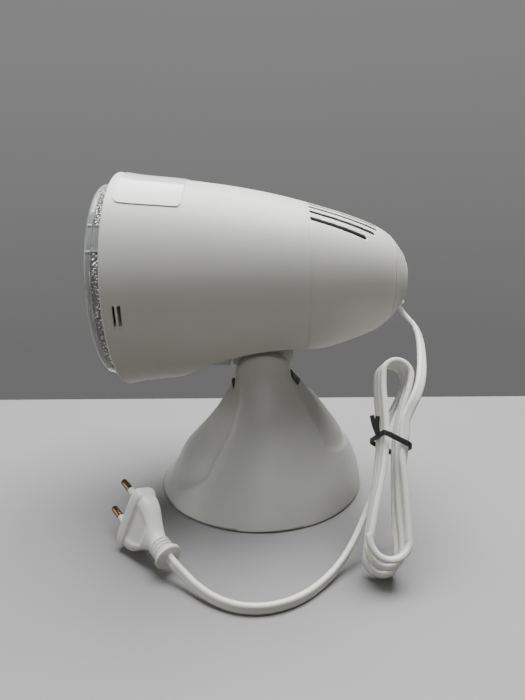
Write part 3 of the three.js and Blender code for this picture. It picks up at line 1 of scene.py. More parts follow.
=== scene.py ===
"""Infrared heat therapy lamp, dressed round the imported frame. Sizes are millimetres until a mesh is made."""
import json
import math
from functools import partial

import bmesh
import bpy
import numpy as np
from mathutils import Matrix, Vector


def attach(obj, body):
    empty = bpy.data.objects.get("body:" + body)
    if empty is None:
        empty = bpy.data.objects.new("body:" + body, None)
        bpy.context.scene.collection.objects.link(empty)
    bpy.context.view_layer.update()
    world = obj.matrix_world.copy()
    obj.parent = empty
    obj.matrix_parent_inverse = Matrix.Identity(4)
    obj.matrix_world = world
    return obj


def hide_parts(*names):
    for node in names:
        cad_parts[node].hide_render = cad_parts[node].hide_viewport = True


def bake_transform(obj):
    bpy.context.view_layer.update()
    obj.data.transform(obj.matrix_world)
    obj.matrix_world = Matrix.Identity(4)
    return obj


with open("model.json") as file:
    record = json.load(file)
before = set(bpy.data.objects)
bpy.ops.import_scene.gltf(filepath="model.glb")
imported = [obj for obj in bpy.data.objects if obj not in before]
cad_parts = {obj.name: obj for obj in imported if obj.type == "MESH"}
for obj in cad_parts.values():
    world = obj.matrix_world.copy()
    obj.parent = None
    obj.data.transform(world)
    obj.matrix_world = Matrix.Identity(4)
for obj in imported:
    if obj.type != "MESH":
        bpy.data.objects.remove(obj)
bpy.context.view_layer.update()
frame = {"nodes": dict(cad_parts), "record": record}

# Units and counts
MM = 0.001
ROUND = 240
SMOOTH_ANGLE = 32
BEVEL_ANGLE = 35
OUTLINE_STEPS = 10
LINE_STEPS = 12
ARCH_STEPS = 200
CORNER_STEPS = 5
UP = Vector((0, 0, 1))
ALONG_Y = Vector((0, 1, 0))

# Camera, fitted to the photograph
CAMERA_PLACE = Vector((1.61, -345.68, 191.06))
CAMERA_PITCH = math.radians(15.51)
CAMERA_ROLL = math.radians(-0.41)
SENSOR = 36
LENS = SENSOR * 526 / 700

# Room
# Wall grey, darker low and lighter high: painted light on the backdrop
WALL_LOW = (0.158, 0.158, 0.158)
WALL_HIGH = (0.245, 0.245, 0.246)
WALL_FOOT = -0.25
WALL_HEAD = 0.32
ROOM_LIGHT = (0.06, 0.06, 0.058)
TABLE_SEEN = (0.312, 0.312, 0.315)
TABLE_BOUNCE = (0.07, 0.067, 0.048)
TABLE_BACK = 159
TABLE_REACH = 1500

# Lamps: name, place, target, size and power, in metres and watts
LAMPS = (
    ("ceiling", (0.12, 0.38, 1.3), (0, 0.05, 0), (1.2, 1.1), 54.0),
    ("side", (-1.3, -0.1, 0.45), (0, 0, 0.08), (0.6, 0.6), 3.4),
    ("front", (0, -1.5, 0.8), (0, 0, 0.1), (0.5, 0.4), 3.1),
)

# Surfaces: size of the slow blotches, height of the grain in metres, spread of the roughness
BLOTCH_SCALE = 18
GRAIN_HEIGHT = 0.0004
ROUGHNESS_SPREAD = 0.04
WHITE = (0.79, 0.79, 0.765)
BEAD_SIZE = 1.6
BEAD_DEPTH = 1.2

# Head, by the part's own measures apart from the neck's drum, the slot's edges and the vents
AXIS_HEIGHT = 143.3
RIM_PLACE = 85.6
HEAD_LENGTH = 179.6
RIM_RADIUS = 67.5
WALL = 2.4
SEAT = 0.3
SEAM = 114.6
SEAM_HALF = 0.025
SEAM_ROUND = 0.05
RIM_ROUND = 0.9
CAP_SEAM = 168.5
CAP_ROUND = 0.2
CAP_END_ROUND = 1.4
CAP_SLOT_DEPTH = 1.2
CAP_SLOT_DROPS = (6.2, 0.3)  # lower and upper edge under the axis
CORNER_ROOM = 0.2
OVERRUN = 4
# Half of the head's outline: share of its length, share of the rim's radius
OUTLINE_SHARES = (
    (0, 1), (0.08, 0.966), (0.214, 0.93), (0.375, 0.874), (0.536, 0.794), (0.697, 0.683),
    (0.804, 0.594), (0.885, 0.508), (0.938, 0.419), (0.976, 0.302), (1, 0.207),
)
PIVOT_HEIGHT = 78.5
PIVOT = (1.8, PIVOT_HEIGHT)
ARCH_RADIUS = 103
ARCH_CENTRE = (12, 1.9)
NECK_FRONT = -18.4
NECK_BACK = 22
NECK_HALF = 10.9
NECK_DRUM = 18.8
NECK_SHOULDER = 89
NECK_TOP = 111.2
NECK_EDGE = 0.8
NECK_ARC = (155, 220)  # first angle and turn, in degrees
FLANGE_UNDER = 108.8
FLANGE_HALF = 20
FLANGE_BACK = 29.5
HOLE_FLOOR = 40
DRUM_RADIUS = 20.2
KEEL_FRONT = -44.8
KEEL_BACK = -19.8
KEEL_UNDER = 87.6
KEEL_TOP = 107
KEEL_EDGE = 1.2
SLOT_HALF = 12.5
SLOT_EDGE_DROP = 4.8
SLOT_GAP = 1.3
SLOT_REACH = 80
LABEL_SPAN = (5, 42)
LABEL_HALF = math.radians(42)
LABEL_THICKNESS = 0.3
LABEL_CORNER = 3.0
LABEL_STEPS = (24, 60)  # along and around

# Windows, tongue and ledge: start, length, height, least and greatest distance from the axis, lift
WINDOW_TURN = math.radians(10)
WINDOW = (5.8, 4.6, 13, 30, 80)
RING_WINDOW = (5.0, 6.2, 14.5, 30, 80)
TONGUE = (7.2, 1.2, 15, 58.5, 66.2)
LEDGE = (5.2, 5.8, 1.3, 58.5, 66.4, -5.8)
TONGUE_EDGE = 0.3
SHADED_ALONG = (4.9, 11.3)
SHADED_OUT = 50
TONGUE_ALONG = (7.1, 8.5)
TONGUE_OUT = 58.4
LEDGE_UP = (-6.6, -5.1)

# Cooling slots
VENT_COUNT = 10
VENT_STEP = 6.3
VENT_TURN = math.radians(0.75)
VENT_WIDTH = 2.6
VENT_LEAD = 1.1
VENT_FLOOR = 18
VENT_CORNER = 0.5
VENT_LENGTHS = (43.5, 43, 42.4, 39.9, 33.9)

# Base, by the part's own measures apart from the hollowed and blended edges
BASE_RADIUS = 71
BASE_WALL = 2.6
SHELL_LIFT = 1
EAR_FRONT = 19.8
EAR_REAR = 22.4
EAR_TOP = 19.5
EAR_SPREAD = 1.5
BASE_EDGE = 0.5
BASE_BLEND = 2.0
BLEND_HEIGHT = 50
SCOOP_DEPTH = 1.8
SCOOP_RUN = 8
SCOOP_POWER = 2.4
# Half width, height and depth of a scoop's rounded end, and how fast it narrows above
FRONT_SCOOP = (46, 25, 19.5, 0.42)
REAR_SCOOP = (36, 40, 9, 0.42)
BASE_SKIRT = 6
BASE_GRID = (500, 320)  # rays around and down
HOLLOW_GRID = (200, 140)
RAY_CENTRE = (3.0, 0.0, 42.0)
RAY_LENGTH = 130.0
HALVINGS = 34
FOOT_REACH = 90
FOOT_DROP = 9
WELL_FRONT = 17
WELL_WALL_FRONT = 25
WELL_REAR = 26.5
WELL_FLOOR = 58
WELL_TOP = 72
WELL_WALL = 2
# Share of the pivot's height, then front, rear, side, end round, side round and back as shares of the radius
BASE_SHARES = (
    (0, 1, 1, 1, 1, 1, 0), (0.068, 0.969, 0.998, 0.965, 0.986, 0.972, 0.021),
    (0.19, 0.9, 0.972, 0.901, 0.958, 0.915, 0.056), (0.311, 0.797, 0.928, 0.835, 0.93, 0.859, 0.07),
    (0.429, 0.666, 0.841, 0.763, 0.901, 0.803, 0.077), (0.548, 0.546, 0.751, 0.683, 0.873, 0.746, 0.092),
    (0.662, 0.448, 0.658, 0.599, 0.845, 0.718, 0.092), (0.777, 0.372, 0.563, 0.514, 0.817, 0.704, 0.056),
    (0.892, 0.303, 0.444, 0.458, 0.789, 0.718, 0.035), (1.006, 0.278, 0.345, 0.406, 0.775, 0.76, 0.025),
    (1.274, 0.263, 0.29, 0.338, 0.775, 0.845, 0.025),
)

# Cord, its sleeve and its tie
CORD_WIDTH = 5.6
CORD_THICKNESS = 3.4
CORD_SIDES = 28
CORD_STEP = 1.6
CORD_SQUARENESS = 2.9
GROOVE_SHARE = 0.16
GROOVE_HALF = 0.5
EXIT_POINT = Vector((91.8, 0, 126.5))
EXIT_FALL = math.radians(58)
EXIT_AIM = Vector((math.cos(EXIT_FALL), 0, -math.sin(EXIT_FALL)))
EXIT_REACH = 15
EXIT_HOLE = 5
SLEEVE_OUTSIDE = 1
SLEEVE_PROFILE = (
    (-15, 3.2), (-15, 3.8), (-14.6, 4.0), (-12.7, 4.1), (-12.6, 6.0), (-12.4, 6.2), (-11.2, 6.2),
    (-11, 6.0), (-10.9, 4.2), (0.3, 4.65), (0.8, 4.5), (1.0, 4.1), (1.0, 3.5), (0.7, 3.2),
)
CORD_GAP = 0.3
HANK_LOOPS = 3
HANK_FOOT = Vector((62.8, -113.5, 5.6))
HANK_TOP = Vector((80, -50, 103))
HANK_TURN = math.radians(-1)
HANK_STEP = CORD_WIDTH + 0.6
HANK_BELOW = 72
HANK_SHORTER = 11
HANK_ABOVE = 47
HANK_WAIST_HEIGHT = 68.5
HANK_WAIST_HALF = 4.4
HANK_FOOT_HALF = 10.5
HANK_FOOT_NARROWER = 2.5
HANK_HEAD_HALF = 8
HANK_START = 6
HANK_END = 6
HANK_END_ASIDE = 6.2
HANK_END_BEHIND = 4.3
HANK_PART_STEPS = 64
TWIST_RUN = 26
TWIST_UNDER = 21
TIE_WIDTH = 3
TIE_THICKNESS = 1.2
TIE_ROOM = 0.6
TIE_LEAN = 0.05
TIE_SLOPE = 0.34
TIE_END_LENGTH = 10
TIE_END_RISE = 1.1
TIE_END_BOW = 0.5
TIE_END_SECTION = (2.6, 1.4, 14)  # width, thickness and sides
TIE_STEP = 0.8
TIE_SIDES = 16
TIE_SPREAD_SHARES = (0.12, 0.44)
LEAD_ROUTE = (
    (98.6, -4, 116.7), (100.5, -12, 114), (100.3, -21.5, 111.3), (99, -31.5, 108.3), (97, -41.5, 105),
    (94.8, -51, 101.2), (92.4, -59.6, 96.7), (89.5, -66.6, 91.6), (85.9, -71.8, 86.3), (82.4, -75, 81.1),
)
TAIL_ROUTE = (
    (64.9, -78, 35.6), (60.2, -84, 26), (55, -91, 18.3), (49.6, -98, 12), (43.9, -104.5, 7.4),
    (37.6, -111.4, 4.6), (30.6, -118.6, 3.4), (23, -125.4, 3.1), (13.8, -131, 3.1), (2.4, -134.4, 3.1),
    (-10.4, -134, 3.2), (-22.8, -129, 3.8), (-33.4, -121.3, 5.4), (-40.6, -115, 8),
)
PLUG_ENTRY = Vector((-48.5, -107.6, 11.6))
PLUG_AIM = (Vector((-85.7, -64, 23.8)) - PLUG_ENTRY).normalized()
PLUG_LEAN = math.radians(18)

# Plug; its stations are place along the aim, half width, half thickness and squareness
PLUG_FACE = 39.2
PLUG_STATIONS = (
    (9.5, 5.2, 5.0, 2.0), (12, 5.6, 5.2, 2.2), (14.5, 6.4, 5.5, 2.6), (17.5, 8.4, 5.7, 3.0),
    (20.5, 11.2, 5.8, 3.4), (23.5, 13.9, 5.9, 3.8), (26.5, 15.7, 6.0, 4.2), (29.5, 16.7, 6.1, 4.6),
    (32.2, 17.0, 6.2, 5.0), (33.0, 17.5, 6.75, 5.4), (33.8, 17.65, 6.85, 5.6), (38.4, 17.65, 6.85, 5.6),
    (PLUG_FACE, 17.2, 6.4, 5.6),
)
PLUG_SIDES = 96
GRIP_PLACE, GRIP_HALF, GRIP_WIDTH, GRIP_DEPTH = 25.5, 6.5, 0.62, 0.16
COLLAR = ((0, 0), (0, 6.8), (0.5, 7.4), (1.7, 7.4), (2.2, 6.9), (2.4, 4))
RIB = ((1.05, 4), (1.1, 5.6), (1.3, 6), (1.8, 6), (2, 5.6), (2.1, 4))
RIB_START, RIB_STEP, RIB_COUNT = 2.2, 2.1, 4
NECK_END = ((13, 4.9), (13, 0))
PIN_SPREAD = 9.3
PIN_HOLE = 2.3
PIN_HOLE_SPAN = (31, 45)
PIN_SIDES = 40
PIN = (
    (-8, 0), (-8, 1.5), (10, 1.5), (10, 1.98), (17.6, 1.98), (18.3, 1.8), (18.8, 1.3), (19, 0.6), (19, 0),
)
PIN_SLEEVE = ((-8, 1.8), (9.7, 1.8), (9.7, 1.9), (9.6, 2.0), (-8, 2.0))

# Lamp
LAMP_FRONT = -10.3
LAMP_RADIUS = 60.5
LENS_BAND = 4.2
LENS_ROUND = 2.0
LENS_EDGE = 2.2
LENS_THICKNESS = 2.8
DOME_RISE = 3.6
DOME_STEPS = 30
GLASS_RIB = 0.45
LUG_ANGLES = [math.radians(a) for a in (-60, 60, 180)]
LUG_HALF = math.radians(7.5)
LUG_FADE = math.radians(1.2)
LUG_RISE = 0.25
RIB_TURN = math.radians(37)
RIB_HALF = math.radians(0.55)
STIPPLE_GRID = (1080, 22)
STIPPLE_SINK = 0.4
STIPPLE_FADE = 0.5
STIPPLE_DEPTH = 3
REFLECTOR_START = 7.4
REFLECTOR_DEPTH = 94
REFLECTOR_VERTEX = LAMP_FRONT + REFLECTOR_START + REFLECTOR_DEPTH
REFLECTOR_EDGE = 1.5
REFLECTOR_STEPS = 60
LAMP_NECK_RADIUS = 13.4
LAMP_NECK_MOUTH = 17
LAMP_NECK_LENGTH = 14
LAMP_CAP_OVERLAP = 8.5
RING_SPAN = (1.0, 12.0)
RING_PLACES = (3, 6, 9)
RING_THICKNESS = 3
RING_LIP = 3.2


# Camera and stage
def make_camera():
    forward = Vector((0, math.cos(CAMERA_PITCH), -math.sin(CAMERA_PITCH)))
    level = Vector((1, 0, 0))
    above = Vector((0, math.sin(CAMERA_PITCH), math.cos(CAMERA_PITCH)))
    right = level * math.cos(CAMERA_ROLL) + above * math.sin(CAMERA_ROLL)
    up = above * math.cos(CAMERA_ROLL) - level * math.sin(CAMERA_ROLL)
    data = bpy.data.cameras.new("camera")
    data.sensor_width = SENSOR
    data.sensor_fit = "AUTO"
    data.lens = LENS
    data.clip_start = 0.01
    camera = bpy.data.objects.new("camera", data)
    turn = Matrix((right, up, -forward)).transposed().to_4x4()
    camera.matrix_world = Matrix.Translation(CAMERA_PLACE * MM) @ turn
    bpy.context.scene.collection.objects.link(camera)
    bpy.context.scene.camera = camera


def make_lamp(name, place, target, size, power):
    data = bpy.data.lights.new(name, "AREA")
    data.shape = "RECTANGLE"
    data.size, data.size_y = size
    data.energy = power
    lamp = bpy.data.objects.new(name, data)
    place, target = Vector(place), Vector(target)
    turn = (target - place).to_track_quat("-Z", "Y").to_matrix().to_4x4()
    lamp.matrix_world = Matrix.Translation(place) @ turn
    bpy.context.scene.collection.objects.link(lamp)


def set_inputs(node, values):
    """Sets a node's inputs; an underscore stands for a space in their names."""
    for name, value in values.items():
        node.inputs[name.replace("_", " ")].default_value = value
    return node


def add_node(tree, kind, **values):
    return set_inputs(tree.nodes.new(f"ShaderNode{kind}"), values)


def wire(tree, *pairs):
    for (node, output), (other, socket) in pairs:
        tree.links.new(node.outputs[output], other.inputs[socket])


def colour_ramp(tree, *stops):
    ramp = add_node(tree, "ValToRGB")
    for element, (position, colour) in zip(ramp.color_ramp.elements, stops):
        element.position = position
        element.color = (*colour, 1)
    return ramp


def seen_or_lit(tree, shader, seen, lit):
    """Joins two shaders: one for what the camera, gloss and glass see, one for what lights the object."""
    path = add_node(tree, "LightPath")
    either, any_ray = add_node(tree, "Math"), add_node(tree, "Math")
    either.operation = "MAXIMUM"
    any_ray.operation = "MAXIMUM"
    mix = add_node(tree, "MixShader")
    wire(
        tree,
        ((path, "Is Camera Ray"), (either, 0)), ((path, "Is Glossy Ray"), (either, 1)),
        ((either, 0), (any_ray, 0)), ((path, "Is Transmission Ray"), (any_ray, 1)),
        ((any_ray, 0), (mix, 0)), ((lit, 0), (mix, 1)), ((seen, 0), (mix, 2)),
        ((mix, 0), (shader, "Surface")),
    )


def make_world():
    world = bpy.data.worlds.new("room")
    world.use_nodes = True
    tree = world.node_tree
    seen = tree.nodes["Background"]
    place, parts = add_node(tree, "TexCoord"), add_node(tree, "SeparateXYZ")
    height = add_node(tree, "MapRange", From_Min=WALL_FOOT, From_Max=WALL_HEAD)
    ramp = colour_ramp(tree, (0, WALL_LOW), (1, WALL_HIGH))
    lit = add_node(tree, "Background", Color=(*ROOM_LIGHT, 1))
    wire(
        tree,
        ((place, "Generated"), (parts, "Vector")), ((parts, "Z"), (height, "Value")),
        ((height, "Result"), (ramp, "Fac")), ((ramp, "Color"), (seen, "Color")),
    )
    seen_or_lit(tree, tree.nodes["World Output"], seen, lit)
    bpy.context.scene.world = world


def make_table():
    far = TABLE_REACH
    corners = [(-far, -far, 0), (far, -far, 0), (far, TABLE_BACK, 0), (-far, TABLE_BACK, 0)]
    look = look_of("table", TABLE_SEEN, 0.6, bump=0.1, grain_size=1500, blotch=0.02)
    tree = look.node_tree
    bounce = add_node(tree, "BsdfDiffuse", Color=(*TABLE_BOUNCE, 1))
    seen_or_lit(tree, tree.nodes["Material Output"], tree.nodes["Principled BSDF"], bounce)
    link("table", corners, [(0, 1, 2, 3)], look)


# Meshes
def link(name, vertices, faces, look, smooth_angle=SMOOTH_ANGLE):
    mesh = bpy.data.meshes.new(name)
    mesh.from_pydata([Vector(v) * MM for v in vertices], [], faces)
    tidy(mesh)
    obj = bpy.data.objects.new(name, mesh)
    bpy.context.scene.collection.objects.link(obj)
    if look:
        mesh.materials.append(look)
    shade(obj, smooth_angle)
    return obj


def tidy(mesh):
    work = bmesh.new()
    work.from_mesh(mesh)
    bmesh.ops.recalc_face_normals(work, faces=work.faces)
    work.to_mesh(mesh)
    work.free()


def shade(obj, angle):
    mesh = obj.data
    mesh.polygons.foreach_set("use_smooth", [True] * len(mesh.polygons))
    mesh.set_sharp_from_angle(angle=math.radians(angle))


def applied(obj):
    bpy.context.view_layer.update()
    held = obj.evaluated_get(bpy.context.evaluated_depsgraph_get())
    mesh = bpy.data.meshes.new_from_object(held)
    obj.modifiers.clear()
    old = obj.data
    obj.data = mesh
    bpy.data.meshes.remove(old)
    return obj


def combine(operation, obj, *others):
    for other in others:
        change = obj.modifiers.new("combine", "BOOLEAN")
        change.operation = operation
        change.solver = "MANIFOLD"
        change.material_mode = "TRANSFER"
        change.object = other
        applied(obj)
        mesh = other.data
        bpy.data.objects.remove(other)
        bpy.data.meshes.remove(mesh)
    return obj


cut = partial(combine, "DIFFERENCE")
join = partial(combine, "UNION")
common = partial(combine, "INTERSECT")


def bevelled(obj, width, segments=2):
    change = obj.modifiers.new("edge", "BEVEL")
    change.width = width * MM
    change.segments = segments
    change.limit_method = "ANGLE"
    change.angle_limit = math.radians(BEVEL_ANGLE)
    change.use_clamp_overlap = True
    change.harden_normals = False
    return applied(obj)


def grid_faces(rings, steps, closed_profile=False):
    """Quads between rings of points; in a closed profile the last ring meets the first."""
    faces = []
    for k in range(rings if closed_profile else rings - 1):
        low, high = k * steps, (k + 1) % rings * steps
        for i in range(steps):
            after = (i + 1) % steps
            faces.append((low + i, low + after, high + after, high + i))
    return faces


def tube_faces(rings, steps):
    """Quads between rings, with a cap on the first and the last."""
    last = (rings - 1) * steps
    return grid_faces(rings, steps) + [list(range(steps)), list(range(last, last + steps))]


def head_point(along, out, angle):
    """Place on a ring about the head's axis."""
    return along - RIM_PLACE, out * math.sin(angle), AXIS_HEIGHT + out * math.cos(angle)


def turned(name, profile, look, steps=ROUND, place=head_point, closed=False):
    """Profile of (along, out) pairs turned about the head's axis, or about another with place."""
    rings = [p for p in profile if p[1] > 1e-6]
    vertices = [place(s, out, 2 * math.pi * i / steps) for s, out in rings for i in range(steps)]
    faces = grid_faces(len(rings), steps, closed_profile=closed)
    if not closed:
        for end, ring in ((profile[0], 0), (profile[-1], len(rings) - 1)):
            if end[1] > 1e-6:
                faces.append([ring * steps + i for i in range(steps)])
                continue
            pole = len(vertices)
            vertices.append(place(end[0], 0, 0))
            faces += [(pole, ring * steps + i, ring * steps + (i + 1) % steps) for i in range(steps)]
    return link(name, vertices, faces, look)


def slab(name, outline, half, look=None):
    """Outline of (x, z) pairs with its thickness along Y."""
    vertices = [(x, side * half, z) for side in (-1, 1) for x, z in outline]
    return link(name, vertices, tube_faces(2, len(outline)), look)


def block(name, low, high, look=None):
    (x0, y0, z0), (x1, y1, z1) = low, high
    outline = [(x0, z0), (x1, z0), (x1, z1), (x0, z1)]
    obj = slab(name, outline, (y1 - y0) / 2, look)
    obj.data.transform(Matrix.Translation(Vector((0, (y0 + y1) / 2, 0)) * MM))
    return obj


def basis_for(aim):
    first = aim.cross(UP if abs(aim.z) < 0.9 else ALONG_Y).normalized()
    return first, aim.cross(first)


def rod(name, start, end, radius, look=None, steps=48):
    start, end = Vector(start), Vector(end)
    aim = (end - start).normalized()
    first, second = basis_for(aim)
    vertices = []
    for centre in (start, end):
        for i in range(steps):
            angle = 2 * math.pi * i / steps
            vertices.append(centre + (first * math.cos(angle) + second * math.sin(angle)) * radius)
    return link(name, vertices, tube_faces(2, steps), look)


def spun(name, origin, aim, profile, look, steps, closed=False):
    """Profile of (along, out) pairs turned about any line."""
    origin, aim = Vector(origin), Vector(aim).normalized()
    first, second = basis_for(aim)

    def place(along, out, angle):
        return origin + aim * along + (first * math.cos(angle) + second * math.sin(angle)) * out

    return turned(name, profile, look, steps, place, closed)


# Smooth lines
def spline(points, per):
    """Uniform Catmull-Rom through the points, the ends held."""
    points = [Vector(p) for p in points]
    made = []
    for k in range(len(points) - 1):
        a, b = points[max(k - 1, 0)], points[k]
        c, d = points[k + 1], points[min(k + 2, len(points) - 1)]
        for i in range(per):
            t = i / per
            v0, v1 = (c - a) / 2, (d - b) / 2
            made.append(b + v0 * t + (3 * (c - b) - 2 * v0 - v1) * t * t + (2 * (b - c) + v0 + v1) * t ** 3)
    made.append(points[-1])
    return made


def centripetal(points, per):
    """Centripetal Catmull-Rom through the points."""
    points = [Vector(p) for p in points]
    first = points[0] * 2 - points[1]
    last = points[-1] * 2 - points[-2]
    line = [first, *points, last]
    made = []
    for k in range(1, len(line) - 2):
        p = line[k - 1:k + 3]
        t = [0]
        for i in range(3):
            t.append(t[-1] + max((p[i + 1] - p[i]).length, 1e-9) ** 0.5)
        for i in range(per):
            at = t[1] + (t[2] - t[1]) * i / per
            mixed = list(p)
            for level in (1, 2, 3):
                for j in range(4 - level):
                    low, high = (1, 2) if level == 3 else (j, j + level)
                    share = (at - t[low]) / (t[high] - t[low])
                    mixed[j] = mixed[j].lerp(mixed[j + 1], share)
            made.append(mixed[0])
    made.append(points[-1])
    return made


def evenly(points, step):
    lengths = [0]
    for a, b in zip(points, points[1:]):
        lengths.append(lengths[-1] + (b - a).length)
    count = max(round(lengths[-1] / step), 2)
    made = []
    k = 0
    for i in range(count + 1):
        want = lengths[-1] * i / count
        while k < len(points) - 2 and lengths[k + 1] < want:
            k += 1
        span = max(lengths[k + 1] - lengths[k], 1e-9)
        made.append(points[k].lerp(points[k + 1], (want - lengths[k]) / span))
    return made


def between(low, high, v0, v1, t):
    """Smooth curve from low to high with the given slopes at its ends."""
    return low + v0 * t + (3 * (high - low) - 2 * v0 - v1) * t ** 2 + (2 * (low - high) + v0 + v1) * t ** 3


def smooth_rows(rows, per):
    """More rows between the given ones, each column along a smooth line over the first."""
    table = np.array(rows, float)
    heights = table[:, 0]
    slopes = np.gradient(table[:, 1:], heights, axis=0)
    made = []
    for k in range(len(rows) - 1):
        step = heights[k + 1] - heights[k]
        low, high = table[k, 1:], table[k + 1, 1:]
        v0, v1 = slopes[k] * step, slopes[k + 1] * step
        for i in range(per):
            t = i / per
            made.append((heights[k] + step * t, *between(low, high, v0, v1, t)))
    made.append(tuple(table[-1]))
    return made


def total(points):
    return sum((b - a).length for a, b in zip(points, points[1:]))


# Materials
looks = {}


def look_of(name, colour, roughness, metallic=0.0, grain_size=900, bump=0.03, blotch=0.03, **sockets):
    """Moulded or drawn surface: slow colour blotches, fine grain in roughness and bump."""
    made = bpy.data.materials.new(name)
    made.use_nodes = True
    tree = made.node_tree
    shader = set_inputs(tree.nodes["Principled BSDF"], {"Metallic": metallic, **sockets})
    place = add_node(tree, "TexCoord")
    slow = add_node(tree, "TexNoise", Scale=BLOTCH_SCALE, Detail=3)
    fine = add_node(tree, "TexNoise", Scale=grain_size, Detail=4)
    dark = [c * (1 - blotch) for c in colour]
    light = [min(c * (1 + blotch), 1) for c in colour]
    ramp = colour_ramp(tree, (0.3, dark), (0.7, light))
    low, high = max(roughness - ROUGHNESS_SPREAD, 0.02), min(roughness + ROUGHNESS_SPREAD, 1)
    spread = add_node(tree, "MapRange", To_Min=low, To_Max=high)
    bumped = add_node(tree, "Bump", Strength=bump, Distance=GRAIN_HEIGHT)
    wire(
        tree,
        ((place, "Object"), (slow, "Vector")), ((place, "Object"), (fine, "Vector")),
        ((slow, "Fac"), (ramp, "Fac")), ((ramp, "Color"), (shader, "Base Color")),
        ((fine, "Fac"), (spread, "Value")), ((spread, "Result"), (shader, "Roughness")),
        ((fine, "Fac"), (bumped, "Height")), ((bumped, "Normal"), (shader, "Normal")),
    )
    looks[name] = made
    return made


def press_beads(look):
    """Pressed glass beads: cells that tilt the surface, their centres painted white as highlights, dark grey
    between.
    """
    tree = look.node_tree
    shader = tree.nodes["Principled BSDF"]
    place = add_node(tree, "TexCoord")
    cells = add_node(tree, "TexVoronoi", Scale=1 / (BEAD_SIZE * MM))
    bumped = add_node(tree, "Bump", Distance=BEAD_DEPTH * MM)
    bumped.invert = True
    painted_glints = colour_ramp(tree, (0.22, (1, 1, 1)), (0.42, (0.2, 0.205, 0.2)))
    wire(
        tree,
        ((place, "Object"), (cells, "Vector")), ((cells, "Distance"), (bumped, "Height")),
        ((bumped, "Normal"), (shader, "Normal")), ((cells, "Distance"), (painted_glints, "Fac")),
        ((painted_glints, "Color"), (shader, "Base Color")),
    )


look_of("shell_white", WHITE, 0.42, bump=0.05)
# shell_shade: the shell's plastic a little darker and warmer than the white, painted shade for the neck and
# the lamp ring, which sit in shade
look_of("shell_shade", (0.74, 0.74, 0.71), 0.5, bump=0.05)
# inner_shade: near-black put on slot walls, slot insides, the vent baffle and faces seen through the side
# windows, painted shade where only shade falls
look_of("inner_shade", (0.1, 0.105, 0.095), 0.7, bump=0.05)
# base_white: the same white plastic made darker, painted shade for the base under the head
look_of("base_white", (0.61, 0.61, 0.59), 0.4, bump=0.05)
look_of("lens_glass", (0.97, 0.99, 0.99), 0.05, bump=0.02, blotch=0.01, Transmission_Weight=1.0, IOR=1.47)
look_of("band_glass", (0.72, 0.74, 0.74), 0.14, bump=1, blotch=0.2, grain_size=160,
        Transmission_Weight=0.6, IOR=1.47)
look_of("bead_glass", (0.3, 0.31, 0.31), 0.12, 0.4, blotch=0.1, IOR=1.47)
look_of("mirror_coat", (0.8, 0.8, 0.79), 0.12, 1.0, bump=0.02)
# brass far darker than bare brass: painted dark reflection on the plug's pins
look_of("brass", (0.17, 0.11, 0.055), 0.15, 1.0, bump=0.04)
look_of("steel", (0.45, 0.46, 0.47), 0.32, 1.0, bump=0.05)
look_of("zinc", (0.55, 0.56, 0.58), 0.4, 1.0, bump=0.06)
look_of("ceramic", (0.82, 0.8, 0.75), 0.35, bump=0.05)
look_of("rubber", (0.035, 0.035, 0.037), 0.85, bump=0.2)
look_of("cord_white", (0.96, 0.96, 0.93), 0.38, bump=0.06, grain_size=500)
look_of("tie_black", (0.012, 0.012, 0.013), 0.4, bump=0.08)
look_of("label_white", (0.86, 0.86, 0.85), 0.16, bump=0.02)
look_of("fibre", (0.26, 0.19, 0.1), 0.8, bump=0.15)
look_of("wire_blue", (0.05, 0.14, 0.4), 0.45)
look_of("wire_brown", (0.15, 0.06, 0.03), 0.45)
look_of("insulator_dark", (0.03, 0.03, 0.032), 0.5, bump=0.08)
press_beads(looks["bead_glass"])


def dress(obj, body, slot, *nodes):
    if not obj.data.materials:
        obj.data.materials.append(looks[slot])
    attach(obj, body)
    if nodes:
        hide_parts(*nodes)
    return obj


# Hank of the cord, by the same formula as the part's source
HANK_UP = (HANK_TOP - HANK_FOOT).normalized()
HANK_FACING = (Vector((0, -1, 0)) + HANK_UP * HANK_UP.y).normalized()
HANK_FRONT = Matrix.Rotation(HANK_TURN, 3, HANK_UP) @ HANK_FACING
HANK_SIDE = HANK_UP.cross(HANK_FRONT)
HANK_WAIST = HANK_FOOT + HANK_UP * HANK_WAIST_HEIGHT


def smooth(share):
    share = min(max(share, 0), 1)
    return share * share * (3 - 2 * share)


def hank_point(across, up, layer):
    deep = (HANK_LOOPS / 2 - layer) * HANK_STEP
    return HANK_WAIST + HANK_SIDE * across + HANK_UP * up + HANK_FRONT * deep


def foot_half(loop):
    return HANK_FOOT_HALF - HANK_FOOT_NARROWER * min(loop, HANK_LOOPS - 1) / (HANK_LOOPS - 1)


def foot_up(loop):
    return HANK_FOOT_HALF - HANK_BELOW + HANK_SHORTER * (1 - loop / (HANK_LOOPS - 1))


HEAD_UP = HANK_ABOVE - HANK_HEAD_HALF


def hank_half(up, loop=0):
    """Half the loop's width at a height above or below the waist."""
    end = foot_half(loop) if up < 0 else HANK_HEAD_HALF
    run = HANK_BELOW - HANK_FOOT_HALF if up < 0 else HEAD_UP
    return HANK_WAIST_HALF + (end - HANK_WAIST_HALF) * smooth(abs(up) / run)


def run_twist(up, low, high):
    """A run down the right side turns the cord's flat face to the front between two heights."""
    return math.pi / 2 * smooth(min(high - up, up - low) / TWIST_RUN)


def arc_places(half, centre_up, start, layer, steps):
    made = []
    for i in range(steps):
        angle = start - math.pi * (i + 0.5) / steps
        made.append((hank_point(half * math.cos(angle), centre_up + half * math.sin(angle), layer), 0))
    return made


